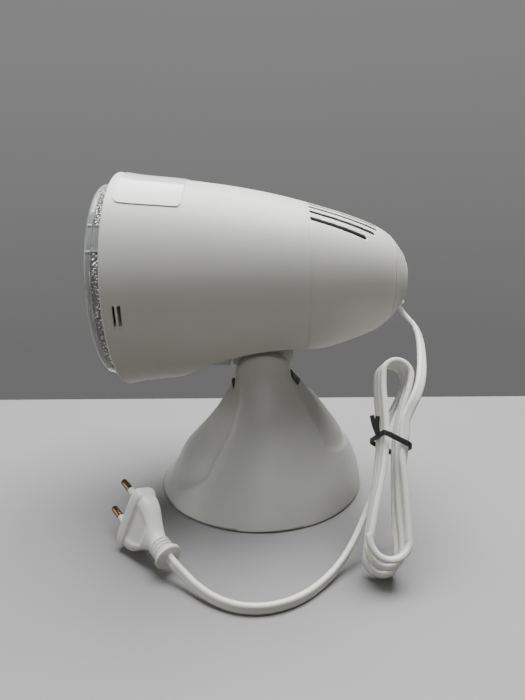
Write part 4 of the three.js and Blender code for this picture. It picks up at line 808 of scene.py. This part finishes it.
def down_run(loop, steps):
    top = HANK_START if loop == 0 else HEAD_UP
    low, high = (-TWIST_UNDER, HANK_START + TWIST_RUN) if loop == 0 else (foot_up(loop), HEAD_UP)
    made = []
    for i in range(steps):
        share = i / steps if loop == 0 else (i + 0.5) / steps
        up = top + (foot_up(loop) - top) * share
        made.append((hank_point(hank_half(up, loop), up, loop), run_twist(up, low, high)))
    return made


def up_run(loop, steps):
    made = []
    for i in range(steps):
        share = (i + 0.5) / steps
        up = foot_up(loop) + (HEAD_UP - foot_up(loop)) * share
        made.append((hank_point(-hank_half(up, loop), up, loop + smooth(share)), 0))
    return made


def last_run(steps):
    """From the last head arc down behind the other runs to the left, ending straight."""
    bottom = CORD_WIDTH - HANK_END
    made = []
    for i in range(steps):
        share = (i + 0.5) / steps
        up = HEAD_UP + (bottom - HEAD_UP) * share
        across = hank_half(max(up, 0)) - HANK_END_ASIDE * smooth(share)
        layer = HANK_LOOPS + HANK_END_BEHIND / HANK_STEP * smooth(2 * share)
        made.append((hank_point(across, up, layer), 0))
    last = (hank_half(0) - HANK_END_ASIDE, HANK_LOOPS + HANK_END_BEHIND / HANK_STEP)
    return made + [(hank_point(last[0], up, last[1]), 0) for up in (bottom, -HANK_END)]


def hank_places(steps):
    """Point and twist down the right, round the foot, up the left and over the top of each loop."""
    made = []
    for loop in range(HANK_LOOPS):
        made += down_run(loop, steps)
        made += arc_places(foot_half(loop), foot_up(loop), 0, loop, steps)
        made += up_run(loop, steps)
        made += arc_places(HANK_HEAD_HALF, HEAD_UP, math.pi, loop + 1, steps)
    return made + last_run(steps)


def along_exit(distance):
    return EXIT_POINT + EXIT_AIM * distance


def lead_points():
    start = SLEEVE_OUTSIDE + CORD_GAP
    before = hank_point(hank_half(HANK_START), HANK_START + CORD_GAP + CORD_WIDTH, 0)
    return [along_exit(start), along_exit(start + CORD_WIDTH), *[Vector(p) for p in LEAD_ROUTE], before]


def tail_points(start):
    straight = start - HANK_UP * (CORD_GAP + CORD_WIDTH)
    before = PLUG_ENTRY - PLUG_AIM * (CORD_GAP + CORD_WIDTH)
    end = PLUG_ENTRY + PLUG_AIM * CORD_GAP
    return [start, straight, *[Vector(p) for p in TAIL_ROUTE], before, end]


PLUG_UPRIGHT = (UP - PLUG_AIM * PLUG_AIM.z).normalized()
PLUG_ACROSS = Matrix.Rotation(PLUG_LEAN, 3, PLUG_AIM) @ PLUG_UPRIGHT
PLUG_THROUGH = PLUG_AIM.cross(PLUG_ACROSS)


def square_to(direction, aim):
    return (direction - aim * direction.dot(aim)).normalized()


def aims_of(line):
    """Direction of the line at each of its points."""
    last = len(line) - 1
    return [(line[min(i + 1, last)] - line[max(i - 1, 0)]).normalized() for i in range(last + 1)]


def cord_frames(points, marks):
    """Width at each point: carried along, and turned slowly between marks of (index, direction)."""
    count = len(points)
    aims = aims_of(points)
    carried = [square_to(marks[0][1], aims[0])]
    for i in range(1, count):
        carried.append(square_to(carried[-1], aims[i]))
    angles = []
    for index, direction in marks:
        want = square_to(direction, aims[index])
        base = carried[index]
        angle = math.atan2(aims[index].dot(base.cross(want)), base.dot(want))
        if angles:
            angle += round((angles[-1] - angle) / math.pi) * math.pi
        angles.append(angle)
    wide = []
    for i in range(count):
        k = 0
        while k < len(marks) - 2 and i > marks[k + 1][0]:
            k += 1
        span = max(marks[k + 1][0] - marks[k][0], 1)
        share = smooth((i - marks[k][0]) / span)
        angle = angles[k] + (angles[k + 1] - angles[k]) * share
        wide.append(Matrix.Rotation(angle, 3, aims[i]) @ carried[i])
    return aims, wide


def oblong_point(angle, wide, thick, squareness):
    """Place on the edge of a rounded oblong with the given half width and half thickness."""
    c, s = math.cos(angle), math.sin(angle)
    x = math.copysign(abs(c) ** (2 / squareness), c) * wide
    return x, math.copysign(abs(s) ** (2 / squareness), s) * thick


def flat_section(width, thickness, sides):
    """Rounded oblong with a shallow groove along the middle of each flat side."""
    made = []
    for i in range(sides):
        x, y = oblong_point(2 * math.pi * i / sides, width / 2, thickness / 2, CORD_SQUARENESS)
        made.append((x, y * (1 - GROOVE_SHARE * math.exp(-(x / GROOVE_HALF) ** 2))))
    return made


def swept(name, points, aims, wide, section, look, closed=False):
    vertices = []
    for point, aim, across in zip(points, aims, wide):
        through = aim.cross(across)
        vertices += [point + across * x + through * y for x, y in section]
    rings, sides = len(points), len(section)
    faces = grid_faces(rings, sides, closed_profile=True) if closed else tube_faces(rings, sides)
    return link(name, vertices, faces, look, 60)


def make_cord():
    places = hank_places(HANK_PART_STEPS)
    hank_line = [point for point, _ in places]
    lead_line = evenly(centripetal([*lead_points(), hank_line[0]], LINE_STEPS), CORD_STEP)
    tail_line = evenly(centripetal(tail_points(hank_line[-1]), LINE_STEPS), CORD_STEP)
    line = lead_line[:-1] + hank_line + tail_line[1:]
    begin, end = len(lead_line) - 1, len(lead_line) + len(hank_line) - 2
    aims = aims_of(line)
    hank_wide = []
    for (_, twist), aim in zip(places, aims[begin:end + 1]):
        hank_wide.append(Matrix.Rotation(twist, 3, aim) @ square_to(HANK_FRONT, aim))
    _, wide_lead = cord_frames(line[:begin + 1], [(0, ALONG_Y), (begin, hank_wide[0])])
    flip = 1 if wide_lead[-1].dot(hank_wide[0]) > 0 else -1
    low = len(tail_line) // 2
    _, wide_tail = cord_frames(line[end:], [(0, HANK_FRONT), (low, UP), (len(tail_line) - 1, PLUG_ACROSS)])
    wide = [across * flip for across in wide_lead[:-1]] + hank_wide + wide_tail[1:]
    section = flat_section(CORD_WIDTH, CORD_THICKNESS, CORD_SIDES)
    return swept("cord", line, aims, wide, section, looks["cord_white"]), line


make_camera()
make_world()
for values in LAMPS:
    make_lamp(*values)
make_table()

cord, cord_line = make_cord()


# Head shells
def head_outline(inset):
    line = spline([(a * HEAD_LENGTH, r * RIM_RADIUS) for a, r in OUTLINE_SHARES], OUTLINE_STEPS)
    return [(p.x + aim.y * inset, p.y - aim.x * inset) for p, aim in zip(line, aims_of(line))]


def radius_at(along, inset):
    line = head_outline(inset)
    for (a, ra), (b, rb) in zip(line, line[1:]):
        if along <= b:
            return ra + (rb - ra) * max(along - a, 0) / (b - a)
    return line[-1][1]


def head_profile(start, end, inset, front_round=0.0, back_round=0.0):
    """Outline between two places, its two corners rounded, closed to the axis."""
    profile = [(start, 0)]
    profile += corner(start, inset, front_round, 1) if front_round else [(start, radius_at(start, inset))]
    low, high = start + max(front_round, CORNER_ROOM), end - max(back_round, CORNER_ROOM)
    profile += [(a, r) for a, r in head_outline(inset) if low < a < high]
    profile += corner(end, inset, back_round, -1) if back_round else [(end, radius_at(end, inset))]
    profile.append((end, 0))
    return profile


def corner(along, inset, size, side):
    out = radius_at(along, inset)
    points = []
    for i in range(CORNER_STEPS + 1):
        angle = math.pi / 2 * i / CORNER_STEPS
        points.append((along + side * size * (1 - math.sin(angle)), out - size * (1 - math.cos(angle))))
    return points if side < 0 else points[::-1]


def arch(growth):
    centre, up = ARCH_CENTRE
    radius = ARCH_RADIUS + growth
    angles = [math.pi * i / ARCH_STEPS for i in range(ARCH_STEPS + 1)]
    outline = [(centre + radius * math.cos(angle), up + radius * math.sin(angle)) for angle in angles]
    return slab("arch", outline, RIM_RADIUS + 10)


def head_part(name, start, end, front_round, back_round, open_back=OVERRUN):
    skin = turned(name, head_profile(start, end, 0, front_round, back_round), looks["shell_white"])
    hollow = turned("hollow", head_profile(start - OVERRUN, end + open_back, WALL), None)
    return skin, hollow


def head_shell(name, start, end, front_round, back_round):
    skin, hollow = head_part(name, start, end, front_round, back_round)
    cut(skin, arch(0))
    cut(hollow, arch(WALL))
    return cut(skin, hollow)


def turn_about_axis(obj, angle):
    centre = Vector((0, 0, AXIS_HEIGHT)) * MM
    turn = Matrix.Rotation(angle, 4, "X")
    obj.data.transform(Matrix.Translation(centre) @ turn @ Matrix.Translation(-centre))
    return obj


def side_window(side, start, length, height, low, high, lift=0):
    x, z = start - RIM_PLACE, AXIS_HEIGHT + lift
    low_corner = (x, low if side > 0 else -high, z - height / 2)
    high_corner = (x + length, high if side > 0 else -low, z + height / 2)
    return turn_about_axis(block("window", low_corner, high_corner), -side * WINDOW_TURN)


def make_front_shell():
    shell = head_shell("front_shell_skin", 0, SEAM - SEAM_HALF, RIM_ROUND, SEAM_ROUND)
    keel = block("keel", (KEEL_FRONT, -NECK_HALF, KEEL_UNDER), (KEEL_BACK, NECK_HALF, KEEL_TOP))
    keel = bevelled(keel, KEEL_EDGE, 3)
    common(keel, arch(WALL / 2))
    join(shell, keel)
    half = NECK_HALF + SEAT
    cut(shell, block("hole", (NECK_FRONT - SEAT, -half, HOLE_FLOOR), (NECK_BACK + SEAT, half, FLANGE_UNDER)))
    for side in (-1, 1):
        cut(shell, side_window(side, *WINDOW))
    return shell


def vent_slot(index):
    """Cooling slot cut from above, drawn in a little towards the back."""
    place = index - (VENT_COUNT - 1) / 2
    length, half = VENT_LENGTHS[int(abs(place))], VENT_WIDTH / 2
    round_end = [math.pi * (i / 8 - 0.5) for i in range(1, 8)]
    outline = [(VENT_CORNER, -half), (length - half, -half)]
    outline += [(length - half + half * math.cos(a), half * math.sin(a)) for a in round_end]
    outline += [(length - half, half), (VENT_CORNER, half)]
    outline += [(0, half - VENT_CORNER), (0, VENT_CORNER - half)]
    # The cutter's near-black passes to the slot walls: painted shade in the vents
    obj = slab("vent", outline, RIM_RADIUS / 2, looks["inner_shade"])
    along, up = SEAM + VENT_LEAD - RIM_PLACE, AXIS_HEIGHT + VENT_FLOOR + RIM_RADIUS / 2
    start = Vector((along, place * VENT_STEP, up))
    turn = Matrix.Rotation(-place * VENT_TURN, 4, "Z") @ Matrix.Rotation(math.pi / 2, 4, "X")
    obj.data.transform(Matrix.Translation(start * MM) @ turn)
    return obj


def make_rear_cover():
    shell = head_shell("rear_cover_skin", SEAM + SEAM_HALF, CAP_SEAM - SEAM_HALF, SEAM_ROUND, CAP_ROUND)
    for index in range(VENT_COUNT):
        cut(shell, vent_slot(index))
    return shell


def make_rear_cap():
    start = CAP_SEAM + SEAM_HALF
    skin, hollow = head_part("rear_cap_skin", start, HEAD_LENGTH, CAP_ROUND, CAP_END_ROUND, -WALL)
    cut(skin, hollow)
    cut(skin, rod("hole", along_exit(-EXIT_REACH), along_exit(EXIT_REACH), EXIT_HOLE))
    x = HEAD_LENGTH - RIM_PLACE
    low, high = (AXIS_HEIGHT - drop for drop in CAP_SLOT_DROPS)
    cut(skin, block("slot", (x - CAP_SLOT_DEPTH, -WALL, low), (x + OVERRUN, WALL, high)))
    return skin


def make_label():
    """Thin curved sheet with rounded corners, lying on the shell."""
    start, end = LABEL_SPAN
    along_steps, round_steps = LABEL_STEPS
    vertices, faces = [], []
    for level in (SEAT + LABEL_THICKNESS, SEAT):
        for i in range(along_steps + 1):
            s = start + (end - start) * i / along_steps
            out = radius_at(s, -level)
            short = max(LABEL_CORNER - min(s - start, end - s), 0)
            trim = LABEL_CORNER - math.sqrt(max(LABEL_CORNER ** 2 - short ** 2, 0)) if short else 0
            reach = LABEL_HALF - trim / out
            for k in range(round_steps + 1):
                vertices.append(head_point(s, out, reach * (2 * k / round_steps - 1)))
    rows, columns = along_steps + 1, round_steps + 1
    size = rows * columns
    for i in range(along_steps):
        for k in range(round_steps):
            a = i * columns + k
            faces.append((a, a + 1, a + columns + 1, a + columns))
            faces.append((size + a, size + a + columns, size + a + columns + 1, size + a + 1))
    edge = list(range(columns))
    edge += [i * columns + round_steps for i in range(1, rows)]
    edge += [along_steps * columns + k for k in range(round_steps - 1, -1, -1)]
    edge += [i * columns for i in range(rows - 2, 0, -1)]
    for a, b in zip(edge, edge[1:] + edge[:1]):
        faces.append((a, b, size + b, size + a))
    return link("blank_sticker", vertices, faces, looks["label_white"], 40)


# Base
def row_values(up):
    """Columns of the section table at many heights, by a smooth line through the rows."""
    table = np.array(BASE_SHARES)
    heights = table[:, 0]
    slopes = np.gradient(table[:, 1:], heights, axis=0)
    up = np.clip(up, heights[0], heights[-1])
    k = np.clip(np.searchsorted(heights, up, side="right") - 1, 0, len(heights) - 2)
    step = heights[k + 1] - heights[k]
    t = ((up - heights[k]) / step)[:, None]
    step = step[:, None]
    low, high = table[k, 1:], table[k + 1, 1:]
    return between(low, high, slopes[k] * step, slopes[k + 1] * step, t)


def blend(stack, softness):
    """Greatest of several depths, with the edges between them rounded."""
    most = stack.max(axis=0)
    return most + softness * np.log(np.exp((stack - most) / softness).sum(axis=0))


def scoop_share(across, up, wide, centre_up, run, narrowing):
    """Hollow along the edge of a scoop with a rounded lower end: 0 outside it, 1 at its deepest."""
    under, out = np.maximum(centre_up - up, 0) / run, np.abs(across) / wide
    end = wide * (1 - (under ** SCOOP_POWER + out ** SCOOP_POWER) ** (1 / SCOOP_POWER))
    into = np.maximum(end - narrowing * np.maximum(up - centre_up, 0), 0) / SCOOP_RUN
    return into * np.exp(1 - into)


def base_depth(points, inset):
    """How far outside the base's body each point lies, below 0 inside it. Edges come out rounded."""
    x, y, z = points.T
    front, rear, side, end_round, side_round, back = (row_values(z / PIVOT_HEIGHT) * BASE_RADIUS).T
    walls = [
        np.hypot(x - (end_round - front), y) - end_round,
        np.hypot(x - (rear - end_round), y) - end_round,
        np.hypot(x - back, y - (side - side_round)) - side_round,
        np.hypot(x - back, y - (side_round - side)) - side_round,
    ]
    px, pz = PIVOT
    size = np.where(x > px, EAR_REAR, EAR_FRONT) + EAR_SPREAD * np.maximum(pz - z, 0)
    ear = (np.hypot((x - px) / size, np.maximum(z - pz, 0) / EAR_TOP) - 1) * EAR_TOP
    body = blend(np.array(walls), BASE_BLEND * np.clip(z / BLEND_HEIGHT, 0.1, 1))
    scoop = np.where(x < 0, scoop_share(y, z, *FRONT_SCOOP), scoop_share(y, z, *REAR_SCOOP))
    return blend(np.array([body + SCOOP_DEPTH * scoop, ear]), BASE_EDGE) + inset


def base_solid(name, inset, look, grid):
    """Body found along rays from a point inside it."""
    around, down = grid
    centre = np.array(RAY_CENTRE)
    turns = np.linspace(0, 2 * math.pi, around, endpoint=False)
    tilts = np.linspace(-math.pi / 2, math.pi / 2, down + 2)[1:-1]
    tilt, turn = np.meshgrid(tilts, turns, indexing="ij")
    tilt, turn = tilt.ravel(), turn.ravel()
    rays = np.stack([np.cos(tilt) * np.cos(turn), np.cos(tilt) * np.sin(turn), np.sin(tilt)], axis=1)
    rays = np.concatenate([rays, [[0, 0, -1], [0, 0, 1]]])
    near, far = np.zeros(len(rays)), np.full(len(rays), RAY_LENGTH)
    for _ in range(HALVINGS):
        middle = (near + far) / 2
        points = centre + rays * middle[:, None]
        inside = (base_depth(points, inset) < 0) & (points[:, 2] > -BASE_SKIRT)
        near, far = np.where(inside, middle, near), np.where(inside, far, middle)
    vertices = centre + rays * near[:, None]
    faces = grid_faces(down, around)
    bottom, top = len(rays) - 2, len(rays) - 1
    faces += [(bottom, (i + 1) % around, i) for i in range(around)]
    last = (down - 1) * around
    faces += [(top, last + i, last + (i + 1) % around) for i in range(around)]
    return link(name, vertices, faces, look, 50)


def drum_space(growth, half):
    x, z = PIVOT
    # The slot's inside takes near-black from these cutters: painted shade between the ears
    look = looks["inner_shade"]
    space = rod("drum", (x, -half, z), (x, half, z), DRUM_RADIUS + SLOT_GAP + growth, look, steps=160)
    low = z - SLOT_EDGE_DROP - growth
    above = block("above", (-SLOT_REACH, -half, low), (SLOT_REACH, half, 2 * z), look)
    return join(space, above)


def well(name, front, growth, look=None):
    """Well behind the drum, under the rear mouth of the slot."""
    low = (PIVOT[0] - front, -SLOT_HALF - growth, WELL_FLOOR - growth)
    return block(name, low, (WELL_REAR + growth, SLOT_HALF + growth, WELL_TOP + growth), look)


def make_base():
    body = base_solid("base_shell_skin", 0, looks["base_white"], BASE_GRID)
    hollow = base_solid("hollow", BASE_WALL, None, HOLLOW_GRID)
    # The well's walls take near-black from its cutter: painted shade at the slot's rear mouth
    slot = join(drum_space(0, SLOT_HALF), well("well", WELL_FRONT, 0, looks["inner_shade"]))
    kept = join(drum_space(BASE_WALL, SLOT_HALF + BASE_WALL), well("well_wall", WELL_WALL_FRONT, WELL_WALL))
    cut(hollow, kept)
    cut(body, hollow, slot)
    cut(body, block("foot", (-FOOT_REACH, -FOOT_REACH, -FOOT_DROP), (FOOT_REACH, FOOT_REACH, SHELL_LIFT)))
    return body


def make_neck():
    x, z = PIVOT
    first, turn = NECK_ARC
    outline = [(NECK_FRONT, NECK_TOP), (NECK_FRONT, NECK_SHOULDER)]
    for i in range(61):
        angle = math.radians(first + turn * i / 60)
        outline.append((x + NECK_DRUM * math.cos(angle), z + NECK_DRUM * math.sin(angle)))
    outline += [(NECK_BACK, NECK_SHOULDER), (NECK_BACK, NECK_TOP)]
    # The neck takes the darker shell_shade: painted shade under the head
    neck = bevelled(slab("neck_skin", outline, NECK_HALF, looks["shell_shade"]), NECK_EDGE, 3)
    flange = block("flange", (NECK_FRONT, -FLANGE_HALF, FLANGE_UNDER), (FLANGE_BACK, FLANGE_HALF, NECK_TOP))
    return join(neck, flange)


# Plug
def plug_point(across, through, along):
    return PLUG_ENTRY + PLUG_ACROSS * across + PLUG_THROUGH * through + PLUG_AIM * along


def make_plug_body():
    """Loft along the aim: neck, waist, shoulders and face plate, then ribs and collar turned on the neck."""
    line = smooth_rows(PLUG_STATIONS, 4)
    sides = PLUG_SIDES
    vertices = []
    for along, wide, thick, squareness in line:
        for i in range(sides):
            x, y = oblong_point(2 * math.pi * i / sides, wide, thick, squareness)
            grip = math.exp(-(((along - GRIP_PLACE) / GRIP_HALF) ** 10))
            grip *= math.exp(-((x / (wide * GRIP_WIDTH)) ** 12))
            vertices.append(plug_point(x, y * (1 - GRIP_DEPTH * grip), along))
    body = link("plug_skin", vertices, tube_faces(len(line), sides), looks["cord_white"], 40)
    ribs = list(COLLAR)
    for i in range(RIB_COUNT):
        start = RIB_START + i * RIB_STEP
        ribs += [(start + along, out) for along, out in RIB]
    join(body, spun("ribs", PLUG_ENTRY, PLUG_AIM, [*ribs, *NECK_END], None, 64))
    for side in (-1, 1):
        start, end = (plug_point(side * PIN_SPREAD, 0, along) for along in PIN_HOLE_SPAN)
        cut(body, rod("pin_hole", start, end, PIN_HOLE))
    return body


def on_pin(name, side, profile, look, closed=False):
    """Profile from the plug's face on, turned about the line of one pin."""
    places = [(PLUG_FACE + along, out) for along, out in profile]
    return spun(name, plug_point(side * PIN_SPREAD, 0, 0), PLUG_AIM, places, look, PIN_SIDES, closed)


# Lamp
def make_lens():
    """Front glass: a band with rounded edges and a shallow dome, hollow behind, ribbed round the band."""
    rim_back = LAMP_FRONT + LENS_BAND
    edge = LAMP_RADIUS - LENS_EDGE
    profile = [(rim_back, LAMP_RADIUS - 3.2), (rim_back, LAMP_RADIUS - 0.5)]
    profile.append((rim_back - 0.35, LAMP_RADIUS - 0.1))
    for i in range(9):
        angle = math.pi / 2 * i / 8
        out = LAMP_RADIUS - LENS_EDGE * (1 - math.cos(angle))
        profile.append((LAMP_FRONT + LENS_ROUND - LENS_ROUND * math.sin(angle), out))
    shares = [1 - i / DOME_STEPS for i in range(1, DOME_STEPS + 1)]
    dome = [(LAMP_FRONT - DOME_RISE * (1 - share ** 2), edge * share) for share in shares]
    inner = [(s + LENS_THICKNESS, max(out - 0.6, 0)) for s, out in reversed(dome)]
    pole = dome[-1][0]
    profile += dome[:-1] + [(pole, 0.05), (pole + LENS_THICKNESS, 0.05)] + inner[1:]
    lens = turned("lens_skin", profile, looks["lens_glass"], closed=True)
    out = LAMP_RADIUS - 0.15
    for angle in rib_angles():
        front, back = head_point(LAMP_FRONT + 1.6, out, angle), head_point(rim_back - 0.3, out, angle)
        join(lens, rod("rib", front, back, GLASS_RIB, steps=12))
    if len(lens.data.materials) < 2:
        lens.data.materials.append(looks["band_glass"])
    for face in lens.data.polygons:
        face.material_index = int(face.center.x > (LAMP_FRONT + 0.6 - RIM_PLACE) * MM)
    return lens


def lug_share(angle):
    """1 inside one of the flange's three clear lugs, 0 elsewhere."""
    best = min(abs(math.remainder(angle - a, 2 * math.pi)) for a in LUG_ANGLES)
    return smooth((LUG_HALF - best) / LUG_FADE + 0.5)


def rib_angles():
    return [a + side * turn for a in LUG_ANGLES for side in (-1, 1) for turn in (LUG_HALF, RIB_TURN)]


def rib_height(angle):
    best = min(abs(math.remainder(angle - a, 2 * math.pi)) for a in rib_angles())
    return GLASS_RIB * math.exp(-((best / RIB_HALF) ** 2))


def make_flange():
    """Stippled glass flange between the front glass and the shell, with clear lugs and ribs."""
    start, end = LAMP_FRONT + LENS_BAND + 0.15, -SEAT
    around, rows = STIPPLE_GRID
    vertices = []
    for k in range(rows):
        along = (end - start) * k / (rows - 1)
        fade = smooth(min(along, end - start - along) / STIPPLE_FADE)
        for i in range(around):
            angle = 2 * math.pi * i / around
            rise = STIPPLE_SINK + LUG_RISE * lug_share(angle) + rib_height(angle)
            vertices.append(head_point(start + along, LAMP_RADIUS - STIPPLE_SINK + rise * fade, angle))
    for along in (end, start):
        for i in range(around):
            vertices.append(head_point(along, LAMP_RADIUS - STIPPLE_DEPTH, 2 * math.pi * i / around))
    faces = grid_faces(rows + 2, around, closed_profile=True)
    flange = link("lamp_flange_skin", vertices, faces, looks["bead_glass"], 80)
    flange.data.materials.append(looks["band_glass"])
    for face in flange.data.polygons:
        angle = math.atan2(face.center.y, face.center.z - AXIS_HEIGHT * MM)
        face.material_index = int(lug_share(angle) > 0.5)
    return flange


def reflector_radius(along):
    share = max(REFLECTOR_VERTEX - along, 0) / REFLECTOR_DEPTH
    return (LAMP_RADIUS - REFLECTOR_EDGE) * math.sqrt(share)


def make_reflector():
    near = REFLECTOR_VERTEX - REFLECTOR_DEPTH * (LAMP_NECK_MOUTH / LAMP_RADIUS) ** 2
    places = [near - near * (1 - (i / REFLECTOR_STEPS) ** 1.3) for i in range(REFLECTOR_STEPS + 1)]
    outer = [(along, reflector_radius(along)) for along in places]
    outer.append((REFLECTOR_VERTEX + LAMP_NECK_LENGTH - LAMP_CAP_OVERLAP, LAMP_NECK_RADIUS))
    inner = [(along, out - LENS_THICKNESS) for along, out in outer[:-1]] + [(outer[-1][0], 10.4)]
    reflector = turned("reflector_skin", outer + inner[::-1], looks["mirror_coat"], closed=True)
    # Outer faces, seen through the side windows, get painted shade instead of the mirror coat
    reflector.data.materials.append(looks["inner_shade"])
    for face in reflector.data.polygons:
        out = Vector((0, face.center.y, face.center.z - AXIS_HEIGHT * MM))
        face.material_index = int(face.normal.dot(out) > 0)
    return reflector


def make_ring():
    """Lamp ring inside the rim, open round the tongues that show in the windows."""
    start, end = RING_SPAN
    outer = [(s, radius_at(s, WALL + SEAT)) for s in (start + 0.2, *RING_PLACES, end)]
    inner = [(s, radius_at(s, WALL + SEAT + RING_THICKNESS)) for s in (end, *RING_PLACES[:0:-1], RING_LIP)]
    lip = reflector_radius(start) + SEAT
    profile = outer + inner + [(RING_LIP, lip), (start, lip), (start, outer[0][1] - 0.2)]
    body = turned("ring_skin", profile, looks["shell_shade"], 192, closed=True)
    for side in (-1, 1):
        cut(body, side_window(side, *RING_WINDOW))
        tongue = bevelled(side_window(side, *TONGUE), TONGUE_EDGE)
        join(body, tongue, side_window(side, *LEDGE))
    # Faces seen through the windows, apart from the tongue and ledge, get painted shade
    body.data.materials.append(looks["inner_shade"])
    for face in body.data.polygons:
        along, out = face.center.x / MM + RIM_PLACE, abs(face.center.y) / MM
        up = (face.center.z / MM - AXIS_HEIGHT) * math.cos(WINDOW_TURN) + out * math.sin(WINDOW_TURN)
        in_window = SHADED_ALONG[0] < along < SHADED_ALONG[1] and out > SHADED_OUT
        on_tongue = TONGUE_ALONG[0] < along < TONGUE_ALONG[1] or LEDGE_UP[0] < up < LEDGE_UP[1]
        face.material_index = int(in_window and not (out > TONGUE_OUT and on_tongue))
    return body


def make_sleeve():
    return spun("sleeve_skin", EXIT_POINT, EXIT_AIM, SLEEVE_PROFILE, looks["cord_white"], 64, closed=True)


def tie_point(across, deep, up):
    """Place on the band, which slopes down to the right."""
    rise = up + TIE_LEAN * deep - TIE_SLOPE * across
    return HANK_WAIST + HANK_SIDE * across + HANK_FRONT * deep + HANK_UP * rise


def tie_outline(growth, steps):
    room = TIE_ROOM + growth
    turn = CORD_THICKNESS / 2 + room
    right = HANK_WAIST_HALF + CORD_WIDTH / 2 + room - turn
    left = turn - HANK_WAIST_HALF - CORD_THICKNESS / 2 - room
    front = (HANK_LOOPS * HANK_STEP + CORD_THICKNESS) / 2 + room - turn
    back = turn - (HANK_LOOPS * HANK_STEP + CORD_WIDTH) / 2 - HANK_END_BEHIND - room
    made = []
    for quarter, (across, deep) in enumerate(((right, front), (left, front), (left, back), (right, back))):
        for i in range(steps + 1):
            angle = math.pi / 2 * (quarter + i / steps)
            made.append(tie_point(across + turn * math.cos(angle), deep + turn * math.sin(angle), 0))
    return made


def make_tie():
    """Black wire tie round the waist."""
    line = tie_outline(TIE_THICKNESS / 2, 14)
    line = evenly([*line, line[0]], TIE_STEP)[:-1]
    aims = [(after - before).normalized() for before, after in zip([line[-1], *line], [*line[1:], line[0]])]
    wide = [square_to(HANK_UP, aim) for aim in aims]
    section = flat_section(TIE_WIDTH, TIE_THICKNESS, TIE_SIDES)
    return swept("tie_band", line, aims, wide, section, looks["tie_black"], closed=True)


def make_tie_ends():
    """The two ends of the tie, twisted off to the left and spread in a V."""
    left = -(HANK_WAIST_HALF + CORD_THICKNESS / 2 + TIE_ROOM + TIE_THICKNESS / 2)
    root = tie_point(left, 0, 0)
    parts = []
    for spread in TIE_SPREAD_SHARES:
        tip = root - HANK_SIDE * (TIE_END_LENGTH * spread) + HANK_UP * TIE_END_LENGTH * TIE_END_RISE
        middle = root.lerp(tip, 0.5) - HANK_SIDE * TIE_END_BOW
        line = evenly(centripetal([root, middle, tip], LINE_STEPS), TIE_STEP)
        aims, wide = cord_frames(line, [(0, HANK_SIDE), (len(line) - 1, HANK_SIDE)])
        parts.append(swept("tie_end", line, aims, wide, flat_section(*TIE_END_SECTION), looks["tie_black"]))
    return join(parts[0], parts[1])


# Pieces
for node in frame["nodes"].values():
    slot = next((m["slot"] for m in frame["record"]["materials"] if node.name in m.get("nodes", [])), None)
    if slot in looks:
        node.data.materials.clear()
        # The vent baffle under the cooling slots gets painted shade in place of its slot's colour
        node.data.materials.append(looks["inner_shade" if node.name == "vent_baffle" else slot])

dress(make_front_shell(), "head", "shell_white", "front_shell")
dress(make_rear_cover(), "head", "shell_white", "rear_cover")
dress(make_rear_cap(), "head", "shell_white", "rear_cap")
dress(make_label(), "head", "label_white", "blank_label")
dress(make_lens(), "head", "lens_glass", "lamp_lens")
dress(make_reflector(), "head", "mirror_coat", "lamp_reflector")
dress(make_flange(), "head", "lens_glass")
dress(make_ring(), "head", "shell_shade", "lamp_ring")
dress(make_sleeve(), "head", "cord_white", "cord_sleeve")
dress(make_neck(), "head", "shell_shade", "neck_bracket")
dress(make_base(), "base", "base_white", "base_shell")
tie = dress(make_tie(), "base", "tie_black", "twist_tie")
tie_ends = dress(make_tie_ends(), "base", "tie_black")
plug_pieces = [dress(make_plug_body(), "base", "cord_white", "plug_body")]
for word, side in (("lower", -1), ("upper", 1)):
    pin = on_pin(f"pin_{word}", side, PIN, looks["brass"])
    sleeve = on_pin(f"pin_sleeve_{word}", side, PIN_SLEEVE, looks["cord_white"], closed=True)
    plug_pieces.append(dress(pin, "base", "brass", f"plug_pin_{word}"))
    plug_pieces.append(dress(sleeve, "base", "cord_white", f"plug_sleeve_{word}"))

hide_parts("cord_lead", "cord_hank", "cord_tail")
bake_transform(cord)
total(cord_line) * MM
[tuple(p * MM) for p in cord_line]
